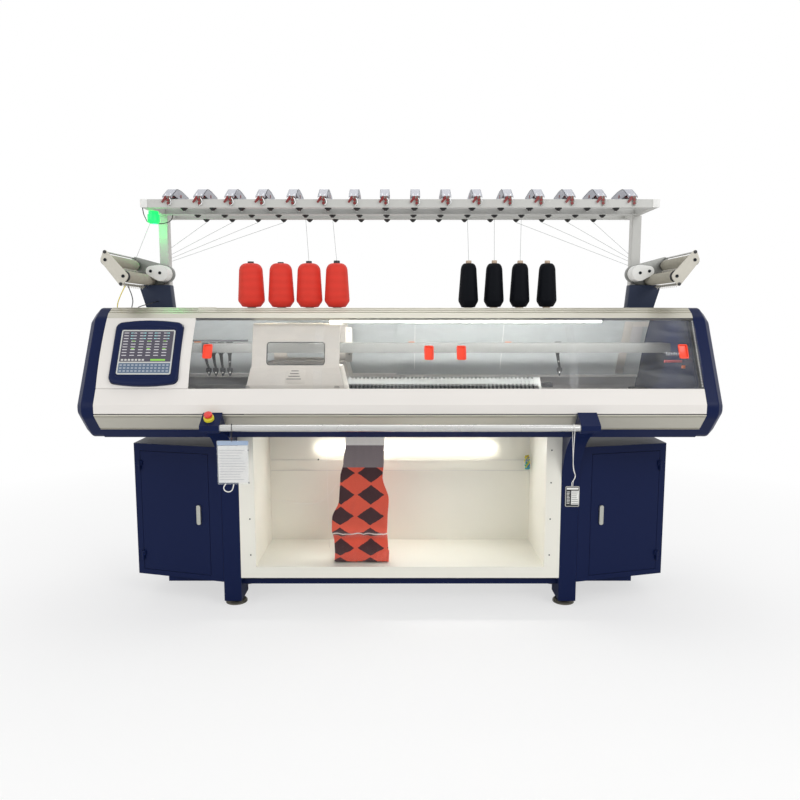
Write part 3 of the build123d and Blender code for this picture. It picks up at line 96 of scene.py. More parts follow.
def linear(code):
    """sRGB hex code as a linear colour"""
    parts = [int(code[i:i + 2], 16) / 255 for i in (1, 3, 5)]
    return [c / 12.92 if c <= 0.04045 else ((c + 0.055) / 1.055) ** 2.4 for c in parts]


def colour_property(label, code, text):
    """Property for a paint or plastic colour"""
    return bpy.props.FloatVectorProperty(
        name=label, description=text, default=linear(code), subtype="COLOR", min=0, max=1)


def length_property(label, value, text):
    """Property for a length, given in metres"""
    return bpy.props.FloatProperty(name=label, description=text, default=value, unit="LENGTH")


class KnittingColours(bpy.types.PropertyGroup):
    """Colours of paints, plastics and yarns"""
    navy: colour_property("Navy paint", "#0e1b42", "Caps, legs, cabinets and belly pan")
    cream: colour_property("Cream paint", "#e6e2dd", "Fascia and control cover")
    white: colour_property("White paint", "#efede2", "Sheet of the fabric box")
    grey: colour_property("Creel paint", "#c4c4c0", "Creel rails, posts and feeders")
    slate: colour_property("Slate paint", "#2c3448", "Stands of the side feeders")
    orange: colour_property("Pull plastic", "#ff4316", "Pulls of the front doors")
    faded: colour_property("Rear pull plastic", "#f58a4c", "Pulls of the rear doors")
    carriage: colour_property("Carriage plastic", "#dcd6cd", "Covers of the carriage")
    cover: colour_property("Tensioner plastic", "#aeb0b8", "Covers of the yarn tensioners")
    claret: colour_property("Disc plastic", "#7c1c1c", "Discs and levers of the tensioners")
    red_yarn: colour_property("Red yarn", "#e23c2e", "Yarn on the left packages")
    black_yarn: colour_property("Black yarn", "#080b12", "Yarn on the right packages")
    knit_ground: colour_property("Knit ground", "#dc5540", "Ground of the knitted fabric")
    knit_motif: colour_property("Knit motif", "#3b2126", "Diamonds of the knitted fabric")
    knit_top: colour_property("Knit top", "#7b7478", "Plain courses at the top")
    lamp: colour_property("Lamp green", "#12e05a", "Dome of the signal lamp")


class KnittingSizes(bpy.types.PropertyGroup):
    """Sizes of the fittings"""
    needle_pitch: length_property("Needle pitch", 0.00475, "Spacing of the drawn needles")
    needle_width: length_property("Needle width", 0.0012, "Width of a needle")
    strand: length_property("Yarn", 0.0015, "Diameter of a yarn strand")
    cable: length_property("Cable", 0.004, "Diameter of the small cables")
    hook_pitch: length_property("Hook pitch", 0.022, "Spacing of the feeder hooks")
    pull_width: length_property("Pull width", 0.040, "Width of a door pull")
    pull_height: length_property("Pull height", 0.066, "Height of a door pull")
    stitch: length_property("Stitch", 0.0036, "Width of a drawn stitch")


def colours():
    """The colours in use, each with full alpha"""
    group = bpy.context.scene.knitting_colours
    return {key: (*getattr(group, key), 1) for key in group.__annotations__}


def sizes():
    """The sizes in use"""
    return bpy.context.scene.knitting_sizes


# Materials

def connect(tree, node, sockets):
    """Gives sockets their values; a value (node, output identifier) becomes a link"""
    for identifier, value in sockets.items():
        socket = next(s for s in node.inputs if s.identifier == identifier)
        if isinstance(value, tuple) and isinstance(value[0], bpy.types.Node):
            source = next(s for s in value[0].outputs if s.identifier == value[1])
            tree.links.new(source, socket)
        else:
            socket.default_value = value


def add_node(tree, kind, sockets=None, **settings):
    """Adds a node, with its settings before its sockets"""
    node = tree.nodes.new(kind)
    for name, value in settings.items():
        setattr(node, name, value)
    connect(tree, node, sockets or {})
    return node


def start_material(name, coordinates="Object"):
    """Empty material: its tree, its shader and the place that its patterns read"""
    material = bpy.data.materials.new(name)
    material.use_nodes = True
    tree = material.node_tree
    tree.nodes.clear()
    shader = add_node(tree, "ShaderNodeBsdfPrincipled")
    add_node(tree, "ShaderNodeOutputMaterial", {"Surface": (shader, "BSDF")})
    place = add_node(tree, "ShaderNodeTexCoord")
    return material, tree, shader, (place, coordinates)


def noise(tree, place, scale, detail, more={}):
    """Noise texture"""
    return add_node(tree, "ShaderNodeTexNoise", {
        "Vector": place, "Scale": scale, "Detail": detail, **more}), "Fac"


def waves(tree, place, scale, direction, more={}):
    """Bands across one direction"""
    return add_node(tree, "ShaderNodeTexWave", {
        "Vector": place, "Scale": scale, **more}, bands_direction=direction), "Fac"


def maths(tree, operation, *values):
    """One sum over up to three values"""
    sockets = dict(zip(("Value", "Value_001", "Value_002"), values))
    return add_node(tree, "ShaderNodeMath", sockets, operation=operation), "Value"


def ranged(tree, value, low, high, more={}):
    """A value spread from low to high"""
    return add_node(tree, "ShaderNodeMapRange", {
        "Value": value, "To Min": low, "To Max": high, **more}), "Result"


def mixed(tree, share, one, two, **settings):
    """Mix of two colours"""
    return add_node(tree, "ShaderNodeMix", {
        "Factor_Float": share, "A_Color": one, "B_Color": two}, data_type="RGBA",
        **settings), "Result_Color"


def shade(colour, share):
    """The same colour, lighter or darker by a share"""
    return (*[min(1, c * share) for c in colour[:3]], 1)


def tinted(tree, share, colour, low, high):
    """Mix of two shades of one colour"""
    return mixed(tree, share, shade(colour, low), shade(colour, high))


def bumped(tree, height, strength, distance):
    """Normal that follows a height"""
    return add_node(tree, "ShaderNodeBump", {
        "Height": height, "Strength": strength, "Distance": distance}), "Normal"


def powder_coat(name, colour, roughness, ior=1.5, grain=0.0016):
    """Baked powder coat: even colour, with an orange peel drawn coarse enough to soften glints"""
    material, tree, shader, place = start_material(name)
    cloud = noise(tree, place, 2.2, 4.0)
    peel = noise(tree, place, 1 / grain, 2.0)
    connect(tree, shader, {
        "Base Color": tinted(tree, cloud, colour, 0.94, 1.06), "IOR": ior,
        "Roughness": ranged(tree, cloud, roughness - 0.05, roughness + 0.07),
        "Normal": bumped(tree, peel, 0.12, 0.0004)})
    return material


def moulded_plastic(name, colour, roughness, coat=0.0, ior=1.53, grain=0.0009):
    """Injection moulded plastic: spark texture of the mould, a faint flow variation"""
    material, tree, shader, place = start_material(name)
    flow = noise(tree, place, 14.0, 3.0)
    spark = add_node(tree, "ShaderNodeTexVoronoi", {"Vector": place, "Scale": 1 / grain})
    connect(tree, shader, {
        "Base Color": tinted(tree, flow, colour, 0.93, 1.05), "Roughness": roughness,
        "Normal": bumped(tree, (spark, "Distance"), 0.08, 0.0003), "IOR": ior,
        "Coat Weight": coat})
    return material


def drawn_metal(name, colour, roughness, wear=0.12, stretch=(0.02, 1, 1), line=0.0011):
    """Extruded, drawn or ground metal: fine lines along its length, some haze in the gloss"""
    material, tree, shader, place = start_material(name)
    along = add_node(tree, "ShaderNodeMapping", {"Vector": place, "Scale": stretch})
    lines = noise(tree, (along, "Vector"), 1 / line, 3.0, {"Roughness": 0.6})
    haze = noise(tree, place, 5.0, 4.0)
    connect(tree, shader, {
        "Base Color": tinted(tree, lines, colour, 0.86, 1.1), "Metallic": 0.9,
        "Roughness": ranged(tree, haze, roughness - wear / 2, roughness + wear),
        "Normal": bumped(tree, lines, 0.1, 0.0002)})
    return material


def clear_sheet(name, colour, share, dusty=0.06, roughness=0.04):
    """Bent acrylic sheet: see-through, glossy, with hanging dust and wiping marks"""
    material, tree, shader, place = start_material(name)
    wipe = add_node(tree, "ShaderNodeMapping", {
        "Vector": place, "Scale": (1.2, 1.2, 3.4), "Rotation": (0, 0.5, 0)})
    dust = noise(tree, (wipe, "Vector"), 3.1, 8.0, {"Roughness": 0.62, "Distortion": 1.2})
    body = ranged(tree, dust, share, share + dusty, {"From Min": 0.42, "From Max": 0.75})
    connect(tree, shader, {
        "Base Color": colour, "IOR": 1.49, "Alpha": body,
        "Roughness": ranged(tree, dust, roughness, roughness + 0.1)})
    return material


def rubber(name, colour, rib=0.0):
    """Moulded or ground rubber: matt, slightly chalky"""
    material, tree, shader, place = start_material(name)
    chalk = noise(tree, place, 60.0, 6.0)
    connect(tree, shader, {
        "Base Color": tinted(tree, chalk, colour, 0.85, 1.15), "Roughness": 0.75,
        "Normal": bumped(tree, chalk, 0.2 + rib, 0.0006)})
    return material


def lit_plastic(name, colour, glow):
    """Diffusing plastic over a lamp: glows evenly, with a moulded skin"""
    material, tree, shader, place = start_material(name)
    connect(tree, shader, {
        "Base Color": colour, "Roughness": 0.35, "Emission Color": colour,
        "Emission Strength": glow,
        "Normal": bumped(tree, noise(tree, place, 180.0, 2.0), 0.1, 0.0003)})
    return material


def wound_yarn(name, colour, ior, sheen):
    """Textured polyester yarn in crossing winds: fine slanted lines and a silky band of light"""
    material, tree, shader, place = start_material(name)
    turns = waves(tree, place, 90.0, "Z", {"Distortion": 1.4, "Detail": 2.0, "Detail Scale": 2.0})
    layers = waves(tree, place, 9.0, "Z", {"Distortion": 3.0, "Detail": 1.0})
    wound = maths(tree, "MULTIPLY", turns, noise(tree, place, 420.0, 3.0))
    tint = tinted(tree, wound, colour, 0.88, 1.1)
    connect(tree, shader, {
        "Base Color": mixed(tree, layers, tint, shade(colour, 0.99)), "Roughness": 0.6,
        "Normal": bumped(tree, wound, 0.2, 0.0004), "Sheen Weight": sheen,
        "Sheen Roughness": 0.4, "IOR": ior})
    return material


def knit_cloth(name, ground, motif, top, stitch):
    """Jacquard knit: columns of loops, plain bands, and rows of dark diamonds on a warm ground"""
    material, tree, shader, place = start_material(name, "UV")
    parts = add_node(tree, "ShaderNodeSeparateXYZ", {"Vector": place})
    across, down = [
        maths(tree, "DIVIDE", maths(tree, "PINGPONG", (parts, axis), pitch), pitch)
        for axis, pitch in (("X", 0.0714), ("Y", 0.052))]
    edge = maths(tree, "MULTIPLY_ADD", noise(tree, place, 60.0, 1.0), 0.12,
                 maths(tree, "ADD", across, down))
    colour = mixed(tree, maths(tree, "LESS_THAN", edge, 0.96), ground, motif)
    white = (0.86, 0.84, 0.8, 1)
    for low, high, band in ((-1, 0.285, top), (-1, 0.178, white), (0.615, 0.632, white)):
        inside = maths(tree, "MULTIPLY", maths(tree, "GREATER_THAN", (parts, "Y"), low),
                       maths(tree, "LESS_THAN", (parts, "Y"), high))
        colour = mixed(tree, inside, colour, band)
    loops = maths(tree, "MULTIPLY",
                  waves(tree, place, 1 / stitch / 3.2, "X", {"Distortion": 0.6}),
                  waves(tree, place, 1 / stitch / 2.4, "Y", {"Distortion": 0.8}))
    connect(tree, shader, {
        "Base Color": mixed(tree, loops, colour, (1, 0.86, 0.8, 1), blend_type="OVERLAY"),
        "Roughness": 0.85, "Normal": bumped(tree, loops, 0.6, 0.0012), "Sheen Weight": 0.3,
        "Sheen Roughness": 0.5})
    return material


def printed_paper(name, colour, fibre=0.0012):
    """Uncoated paper: soft white with a faint fibre cloud"""
    material, tree, shader, place = start_material(name)
    cloud = noise(tree, place, 1 / fibre, 3.0)
    connect(tree, shader, {
        "Base Color": mixed(tree, cloud, shade(colour, 0.95), colour), "Roughness": 0.8})
    return material


# The materials by recipe: name, colour property or sRGB code, then what the recipe takes
RECIPES = {
    powder_coat: (
        ("navy_powder_coat", "navy", 0.34, 1.22), ("cream_powder_coat", "cream", 0.4),
        ("white_powder_coat", "white", 0.45), ("creel_powder_coat", "grey", 0.4),
        ("slate_powder_coat", "slate", 0.45, 1.25), ("motor_enamel", "#16181c", 0.4),
        # bed_band: dark teal-grey, painted along the beds as the shade in their edge and gaps
        ("bed_band", "#1c2a2c", 0.35)),
    moulded_plastic: (
        ("navy_abs", "navy", 0.3, 0.0, 1.25), ("cream_abs", "carriage", 0.42),
        ("orange_abs", "orange", 0.32, 0.3), ("faded_orange_abs", "faded", 0.4),
        ("grey_abs", "cover", 0.5), ("claret_abs", "claret", 0.4),
        ("black_nylon", "#101114", 0.4), ("yellow_abs", "#e8dc38", 0.35),
        ("red_abs", "#e02a22", 0.28, 0.4), ("pale_nylon", "#c8c4b8", 0.45),
        ("glazed_ceramic", "#efeee8", 0.15, 0.6), ("white_nylon", "#e9e9e6", 0.45),
        ("tan_card_tube", "#c9b29b", 0.75), ("key_plastic", "#566a82", 0.4),
        ("key_mark", "#a3acb8", 0.4), ("lcd_glass", "#4a4654", 0.2),
        ("lcd_border", "#c9cac6", 0.3), ("vent_shadow", "#6f6a66", 0.6),
        ("tray_grey", "#8d8c90", 0.5), ("white_cord", "#ecebe6", 0.7),
        ("cable_black", "#15161a", 0.45), ("cable_yellow", "#e6d21e", 0.45),
        ("cable_grey", "#8b9490", 0.5), ("tie_teal", "#35b48c", 0.5),
        ("tie_blue", "#3f7fc4", 0.5), ("lamp_orange", "#ff7a2a", 0.35),
        ("coral_rod", "#d0525a", 0.35), ("flange_grey", "#cfccca", 0.5)),
    drawn_metal: (
        ("anodised_aluminium", "#c9c6ba", 0.36), ("ground_steel", "#b4b6b6", 0.3),
        ("dull_aluminium", "#8d8e8b", 0.45), ("chromed_tube", "#c6c6c4", 0.26, 0.05),
        ("zinc_plate", "#77746a", 0.45, 0.12, (1, 1, 1)),
        ("zinc_casting", "#b9bab2", 0.3, 0.12, (1, 1, 1)),
        ("black_oxide_steel", "#23262a", 0.42), ("bright_wire", "#e4e6e8", 0.22),
        ("needle_bed_steel", "#d3d6d4", 0.34)),
    rubber: (
        ("belt_neoprene", "#14151a"), ("ribbed_nitrile", "#aaa698", 0.2),
        ("grip_polyurethane", "#8a8578", 0.1)),
    clear_sheet: (
        ("clear_acrylic", "#f4f7f8", 0.025), ("tinted_acrylic", "#dde2e1", 0.8, 0.1, 0.14),
        ("clear_pvc", "#e8eef2", 0.1, 0.1, 0.2)),
    lit_plastic: (
        ("green_polycarbonate", "lamp", 1.6), ("lamp_diffuser", "#fffdf2", 8.0),
        ("lcd_white", "#cfccd2", 0.05), ("lcd_cyan", "#a4d8dc", 0.05),
        ("lcd_green", "#8fcf55", 0.05)),
    wound_yarn: (
        ("red_polyester_yarn", "red_yarn", 1.35, 0.12),
        ("black_polyester_yarn", "black_yarn", 1.2, 0.0)),
    printed_paper: (
        ("sleeve_paper", "#eceae6"), ("print_grey", "#b3b1b6"), ("sleeve_blue", "#8fa9cc"),
        ("tag_white", "#e8e8e4"), ("print_black", "#2a2a2c")),
}
MATERIALS = {}


def mix_materials():
    """Makes every material once and keeps it by its name"""
    named = colours()
    for recipe, rows in RECIPES.items():
        for name, colour, *rest in rows:
            MATERIALS[name] = recipe(name, named.get(colour) or (*linear(colour), 1), *rest)
    MATERIALS["jacquard_knit"] = knit_cloth(
        "jacquard_knit", named["knit_ground"], named["knit_motif"], named["knit_top"],
        sizes().stitch)


# Which finish each carried-over part gets
FINISHES = {
    "navy_powder_coat": ("left_end_cap", "right_end_cap", "belly_pan", "left_leg_frame",
                         "right_leg_frame", "base_rails", "left_cabinet", "right_cabinet",
                         "left_cabinet_door", "right_cabinet_door", "bed_beams"),
    "cream_powder_coat": ("front_fascia", "rear_fascia", "control_cover", "table_top"),
    "white_powder_coat": ("fabric_box",),
    "creel_powder_coat": ("creel_frame", "creel_rails"),
    "pale_nylon": ("feeder_frames",),
    "anodised_aluminium": ("table_edges", "lower_extrusions"),
    "needle_bed_steel": ("front_needle_bed", "rear_needle_bed"),
    "dull_aluminium": ("carrier_rails",),
    "black_oxide_steel": tuple(f"yarn_carrier_{i}" for i in range(1, 6)),
    "chromed_tube": ("operating_rod",),
    "zinc_plate": ("levelling_feet",),
    "zinc_casting": ("left_lock_handle", "right_lock_handle"),
    "ribbed_nitrile": ("left_upper_feed_roller", "left_lower_feed_roller",
                      "right_upper_feed_roller", "right_lower_feed_roller"),
    "grip_polyurethane": ("front_takedown_roller", "rear_takedown_roller"),
    "navy_abs": ("screen_bezel",),
    "lcd_border": ("touch_screen",),
    "cream_abs": ("carriage_bridge", "cam_boxes"),
    "motor_enamel": ("drive_motor",),
    "belt_neoprene": ("drive_belt",),
    "grey_abs": ("tensioners",),
    "black_nylon": ("guide_eyelets",),
    "green_polycarbonate": ("signal_lamp",),
    "lamp_diffuser": ("lamps",),
    "yellow_abs": ("stop_switch_base",),
    "red_abs": ("stop_button",),
}


# Places, as metres in the frame

def at(x, y, z):
    """Point given in millimetres, y measured from the needle gap"""
    return Vector((x * MM, (y + GAP_Y) * MM, z * MM))


def on_slope(x, along, out):
    """Point on or over the sloping front"""
    return at(x, SLOPE_MID_Y + along * SLOPE_Y - out * SLOPE_Z,
              SLOPE_MID_Z + along * SLOPE_Z + out * SLOPE_Y)


def on_rear_slope(x, along, out):
    """Point on or over the sloping rear"""
    front = on_slope(x, along, out)
    return Vector((front.x, 2 * GAP_Y * MM - front.y, front.z))


def facing(x, z, y):
    """Point given with the height second, for outlines drawn as seen from the front"""
    return at(x, y, z)


def lengthways(y, z, x):
    """Point given with x last, for outlines drawn as seen from the end"""
    return at(x, y, z)


def shifted(place, du=0, dv=0, dw=0, turn=1):
    """The same way of placing points, moved, and with the third direction turned"""
    return lambda u, v, w: place(u + du, v + dv, w * turn + dw)


# Mesh building

def piece(name, bm, material, body, slot=None, node=None, smooth=30, bevel=0.0):
    """Turns a bmesh into a finished piece on its body"""
    bmesh.ops.remove_doubles(bm, verts=bm.verts, dist=1e-6)
    bmesh.ops.recalc_face_normals(bm, faces=bm.faces)
    if bevel:
        sharp = [e for e in bm.edges if len(e.link_faces) == 2 and e.calc_face_angle() > 0.6]
        bmesh.ops.bevel(bm, geom=sharp, offset=bevel, segments=2, profile=0.6, affect="EDGES",
                        clamp_overlap=True)
    mesh = bpy.data.meshes.new(name)
    bm.to_mesh(mesh)
    bm.free()
    for face in mesh.polygons:
        face.use_smooth = True
    mesh.set_sharp_from_angle(angle=radians(smooth))
    mesh.materials.append(MATERIALS[material])
    return settle(added(name, mesh), body, node)


def added(name, data):
    """New object in the scene"""
    made = bpy.data.objects.new(name, data)
    bpy.context.scene.collection.objects.link(made)
    return made


def settle(made, body, node=None):
    """Gives a made object its body and the node that it stands for"""
    if body:
        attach(made, body)
    if node:
        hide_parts(node)
    return made


def make(name, material, body, shapes, **finish):
    """A piece of one or more shapes, each given as its builder and what that takes"""
    bm = bmesh.new()
    for build, *given in shapes:
        build(bm, *given)
    return piece(name, bm, material, body, **finish)


def lofted(bm, rings, ends=True):
    """Adds a skin over rings of points, and over both ends"""
    loops = [[bm.verts.new(point) for point in ring] for ring in rings]
    for one, two in zip(loops, loops[1:]):
        for i in range(len(one)):
            j = (i + 1) % len(one)
            bm.faces.new((one[i], one[j], two[j], two[i]))
    if ends:
        bm.faces.new(loops[0])
        bm.faces.new(loops[-1])


def extruded(bm, outline, place, low, high):
    """Adds a prism: outline (u, v), place(u, v, w) and the two ends along w"""
    lofted(bm, [[place(u, v, w) for u, v in outline] for w in (low, high)])


def lathed(bm, profile, place, segments=24):
    """Adds a turned body: profile of (radius, height), place(u, v, height)"""
    rings = []
    for radius, height in profile:
        if radius < 1e-6:
            rings.append([bm.verts.new(place(0, 0, height))])
        else:
            rings.append([bm.verts.new(place(radius * cos(2 * pi * k / segments),
                                             radius * sin(2 * pi * k / segments), height))
                          for k in range(segments)])
    for low, high in zip(rings, rings[1:]):
        for k in range(segments):
            n = (k + 1) % segments
            loop = [low[k % len(low)], low[n % len(low)], high[n % len(high)], high[k % len(high)]]
            corners = list(dict.fromkeys(loop))
            if len(corners) > 2:
                bm.faces.new(corners)
    for ring in (rings[0], rings[-1]):
        if len(ring) > 2:
            bm.faces.new(ring)


def piped(bm, points, radius, segments=8):
    """Adds a tube along points given in metres, closed at its ends"""
    rings = []
    normal = None
    for i, point in enumerate(points):
        ahead = points[min(i + 1, len(points) - 1)] - points[max(i - 1, 0)]
        ahead.normalize()
        if normal is None:
            normal = ahead.orthogonal().normalized()
        normal = (normal - ahead * normal.dot(ahead)).normalized()
        across = ahead.cross(normal)
        rings.append([point + radius * (normal * cos(2 * pi * k / segments)
                                        + across * sin(2 * pi * k / segments))
                      for k in range(segments)])
    lofted(bm, rings)


def rounded(width, height, radius, steps=5, centre=(0, 0)):
    """Outline of a rectangle with round corners"""
    points = []
    for turn, (sx, sy) in enumerate(((1, 1), (-1, 1), (-1, -1), (1, -1))):
        cx = centre[0] + sx * (width / 2 - radius)
        cy = centre[1] + sy * (height / 2 - radius)
        for k in range(steps + 1):
            angle = pi / 2 * (turn + k / steps)
            points.append((cx + radius * cos(angle), cy + radius * sin(angle)))
    return points


def oblong(low_u, high_u, low_v, high_v):
    """Outline of a rectangle"""
    return [(low_u, low_v), (high_u, low_v), (high_u, high_v), (low_u, high_v)]


def hull(discs):
    """Convex outline round discs given as (x, z, radius)"""
    points = sorted({(round(x + r * cos(pi * k / 16), 4), round(z + r * sin(pi * k / 16), 4))
                     for x, z, r in discs for k in range(32)})
    halves = []
    for line in (points, points[::-1]):
        chain = []
        for p in line:
            while len(chain) > 1:
                (ax, ay), (bx, by) = chain[-2:]
                if (bx - ax) * (p[1] - ay) - (by - ay) * (p[0] - ax) > 0:
                    break
                chain.pop()
            chain.append(p)
        halves += chain[:-1]
    return halves


def nurbs(name, points, steps):
    """Smooth curve led by a few places, in metres"""
    curve = bpy.data.curves.new(name, "CURVE")
    curve.dimensions = "3D"
    spline = curve.splines.new("NURBS")
    spline.points.add(len(points) - 1)
    for node, point in zip(spline.points, points):
        node.co = (*point, 1)
    spline.order_u = 3
    spline.use_endpoint_u = True
    spline.resolution_u = steps
    return curve


def smooth_line(points, steps):
    """Points along the smooth curve"""
    holder = bpy.data.objects.new("route", nurbs("route", points, steps))
    mesh = bpy.data.meshes.new_from_object(holder)
    line = [v.co.copy() for v in mesh.vertices]
    bpy.data.meshes.remove(mesh)
    bpy.data.objects.remove(holder)
    return line


LATTICE_INPUTS = (
    ("Template", "NodeSocketObject"), ("Material", "NodeSocketMaterial"),
    ("Columns", "NodeSocketInt"), ("Column pitch", "NodeSocketVector"),
    ("Rows", "NodeSocketInt"), ("Row pitch", "NodeSocketVector"),
)


def lattice_tree():
    """Copies a template onto rows and columns"""
    tree = bpy.data.node_groups.get("Lattice")
    if tree:
        return tree
    tree = bpy.data.node_groups.new("Lattice", "GeometryNodeTree")
    for label, kind in LATTICE_INPUTS:
        tree.interface.new_socket(label, in_out="INPUT", socket_type=kind)
    tree.interface.new_socket("Geometry", in_out="OUTPUT", socket_type="NodeSocketGeometry")
    key = lattice_keys(tree)
    given = add_node(tree, "NodeGroupInput")
    columns, rows = [
        add_node(tree, "GeometryNodeMeshLine", {
            "Count": (given, key[count]), "Offset": (given, key[pitch])}, mode="OFFSET")
        for count, pitch in (("Columns", "Column pitch"), ("Rows", "Row pitch"))]
    crossed = add_node(tree, "GeometryNodeInstanceOnPoints", {
        "Points": (rows, "Mesh"), "Instance": (columns, "Mesh")})
    points = add_node(tree, "GeometryNodeRealizeInstances", {"Geometry": (crossed, "Instances")})
    template = add_node(tree, "GeometryNodeObjectInfo", {"Object": (given, key["Template"])})
    copies = add_node(tree, "GeometryNodeInstanceOnPoints", {
        "Points": (points, "Geometry"), "Instance": (template, "Geometry")})
    real = add_node(tree, "GeometryNodeRealizeInstances", {"Geometry": (copies, "Instances")})
    finished = add_node(tree, "GeometryNodeSetMaterial", {
        "Geometry": (real, "Geometry"), "Material": (given, key["Material"])})
    last = add_node(tree, "NodeGroupOutput")
    tree.links.new(finished.outputs["Geometry"], last.inputs[0])
    return tree


def lattice_keys(tree):
    """Socket identifier of each named input"""
    return {item.name: item.identifier for item in tree.interface.items_tree
            if item.in_out == "INPUT"}


def repeated(name, material, body, shapes, columns, pitch, rows=1, row_pitch=(0, 0, 0),
             node=None, **finish):
    """A row or grid of copies of one small body, as one plain mesh; pitches in millimetres"""
    template = make(name + "_one", material, None, shapes, **finish)
    made = added(name, bpy.data.meshes.new(name))
    modifier = made.modifiers.new("Lattice", "NODES")
    modifier.node_group = lattice_tree()
    key = lattice_keys(modifier.node_group)
    values = {
        "Template": template, "Material": MATERIALS[material], "Columns": columns,
        "Column pitch": [p * MM for p in pitch], "Rows": rows,
        "Row pitch": [p * MM for p in row_pitch],
    }
    for label, value in values.items():
        modifier[key[label]] = value
    plain_mesh(made)
    bpy.data.objects.remove(template)
    if not made.data.polygons:
        raise RuntimeError(f"{name} came out empty")
    return settle(made, body, node=node)


def plain_mesh(made):
    """Applies the modifiers of a piece, so that only its mesh is left"""
    bpy.context.view_layer.update()
    seen = made.evaluated_get(bpy.context.evaluated_depsgraph_get())
    mesh = bpy.data.meshes.new_from_object(seen)
    made.modifiers.clear()
    made.data = mesh
    mesh.name = made.name


def cord_piece(name, route, diameter, material, stiffness, body="root", node=None):
    """Free cord along a smooth line through its route, in millimetres"""
    points = [at(*point) for point in route]
    curve = nurbs(name, points, 6)
    curve.bevel_depth = diameter * MM / 2
    curve.bevel_resolution = 2
    curve.use_fill_caps = True
    curve.materials.append(MATERIALS[material])
    made = settle(added(name, curve), body, node=node)
    line = smooth_line(points, 12)
    length = sum((two - one).length for one, two in zip(line, line[1:]))


def arc_out(along, depth):
    """How far a door sheet stands out of the slope at a place along it"""
    radius = ARC_RADIUS - depth
    return DOOR_BULGE - ARC_RADIUS + sqrt(radius ** 2 - along ** 2)


def door_sheet(name, node, place, depth, pulls, material):
    """Bent sheet of a sliding door, holed behind each pull"""
    low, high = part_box(node)
    half_w = sizes().pull_width / MM / 2 - HOLE_INSET
    half_h = sizes().pull_height / MM / 2 - HOLE_INSET
    xs = sorted([low.x / MM, high.x / MM] + [x + s * half_w for x in pulls for s in (-1, 1)])
    steps = 5
    alongs = [-DOOR_HALF + (DOOR_HALF - half_h) * k / steps for k in range(steps + 1)]
    alongs += [-along for along in reversed(alongs)]
    bm = bmesh.new()
    grid = [[bm.verts.new(place(x, a, arc_out(a, depth))) for x in xs] for a in alongs]
    for r in range(len(alongs) - 1):
        for c in range(len(xs) - 1):
            middle = (xs[c] + xs[c + 1]) / 2
            holed = r == steps and any(abs(middle - x) < half_w for x in pulls)
            if not holed:
                bm.faces.new((grid[r][c], grid[r][c + 1], grid[r + 1][c + 1], grid[r + 1][c]))
    bmesh.ops.recalc_face_normals(bm, faces=bm.faces)
    bm.faces.ensure_lookup_table()
    outwards = (place(0, 0, 1) - place(0, 0, 0)).normalized()
    if bm.faces[0].normal.dot(outwards) < 0:
        bmesh.ops.reverse_faces(bm, faces=bm.faces)
    bmesh.ops.solidify(bm, geom=bm.faces[:], thickness=DOOR_SHEET * MM)
    piece(name, bm, material, node, node=node, smooth=20)


def door_pull(name, node, place, depth, x, material):
    """Moulded cup pull: a back, a round flange on the sheet and a deep dished recess"""
    width, height = sizes().pull_width / MM, sizes().pull_height / MM
    rings = ((3.2, 6, -8.6), (3.2, 6, -0.4), (0, 8, -0.4), (0, 8, 1.4), (1.2, 7.4, 1.9),
             (3.6, 6, 1.6), (4.4, 5.4, -5.6), (7.5, 4, -7.0))
    make(name, material, node, [(lofted, [
        [place(x + u, v, arc_out(v, depth) + out)
         for u, v in rounded(width - 2 * inset, height - 2 * inset, radius)]
        for inset, radius, out in rings])], node=node, smooth=40)


# Operators

class KnittingOperator:
    """Shared by the operators: each builds its pieces, or raises"""
    bl_options = {"REGISTER", "UNDO"}

    def execute(self, context):
        self.build(context.scene)
        return {"FINISHED"}


class KNITTING_OT_finishes(KnittingOperator, bpy.types.Operator):
    """Mix the materials and give every carried-over part its finish"""
    bl_idname = "knitting.finishes"
    bl_label = "Finishes"

    def build(self, scene):
        mix_materials()
        for material, nodes in FINISHES.items():
            for node in nodes:
                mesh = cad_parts[node].data
                mesh.materials.clear()
                mesh.materials.append(MATERIALS[material])


class KNITTING_OT_doors(KnittingOperator, bpy.types.Operator):
    """Make the clear sliding doors with their moulded pulls"""
    bl_idname = "knitting.doors"
    bl_label = "Sliding doors"

    def build(self, scene):
        front = (("low", 0), ("high", 1), ("low", 1), ("high", 0))
        for i, (end, track) in enumerate(front, 1):
            node, depth = f"front_door_{i}", track * TRACK_STEP
            low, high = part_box(node)
            x = low.x / MM + PULL_INSET if end == "low" else high.x / MM - PULL_INSET
            door_sheet(f"front_door_sheet_{i}", node, on_slope, depth, (x,), "clear_acrylic")
            door_pull(f"front_door_pull_{i}", node, on_slope, depth, x, "orange_abs")
        for i, pulls in enumerate(((-1056,), (60, 562)), 1):
            node, depth = f"rear_door_{i}", (i - 1) * TRACK_STEP
            door_sheet(f"rear_door_sheet_{i}", node, on_rear_slope, depth, pulls,
                       "tinted_acrylic")
            for k, x in enumerate(pulls, 1):
                door_pull(f"rear_door_pull_{i}_{k}", node, on_rear_slope, depth, x,
                          "faded_orange_abs")


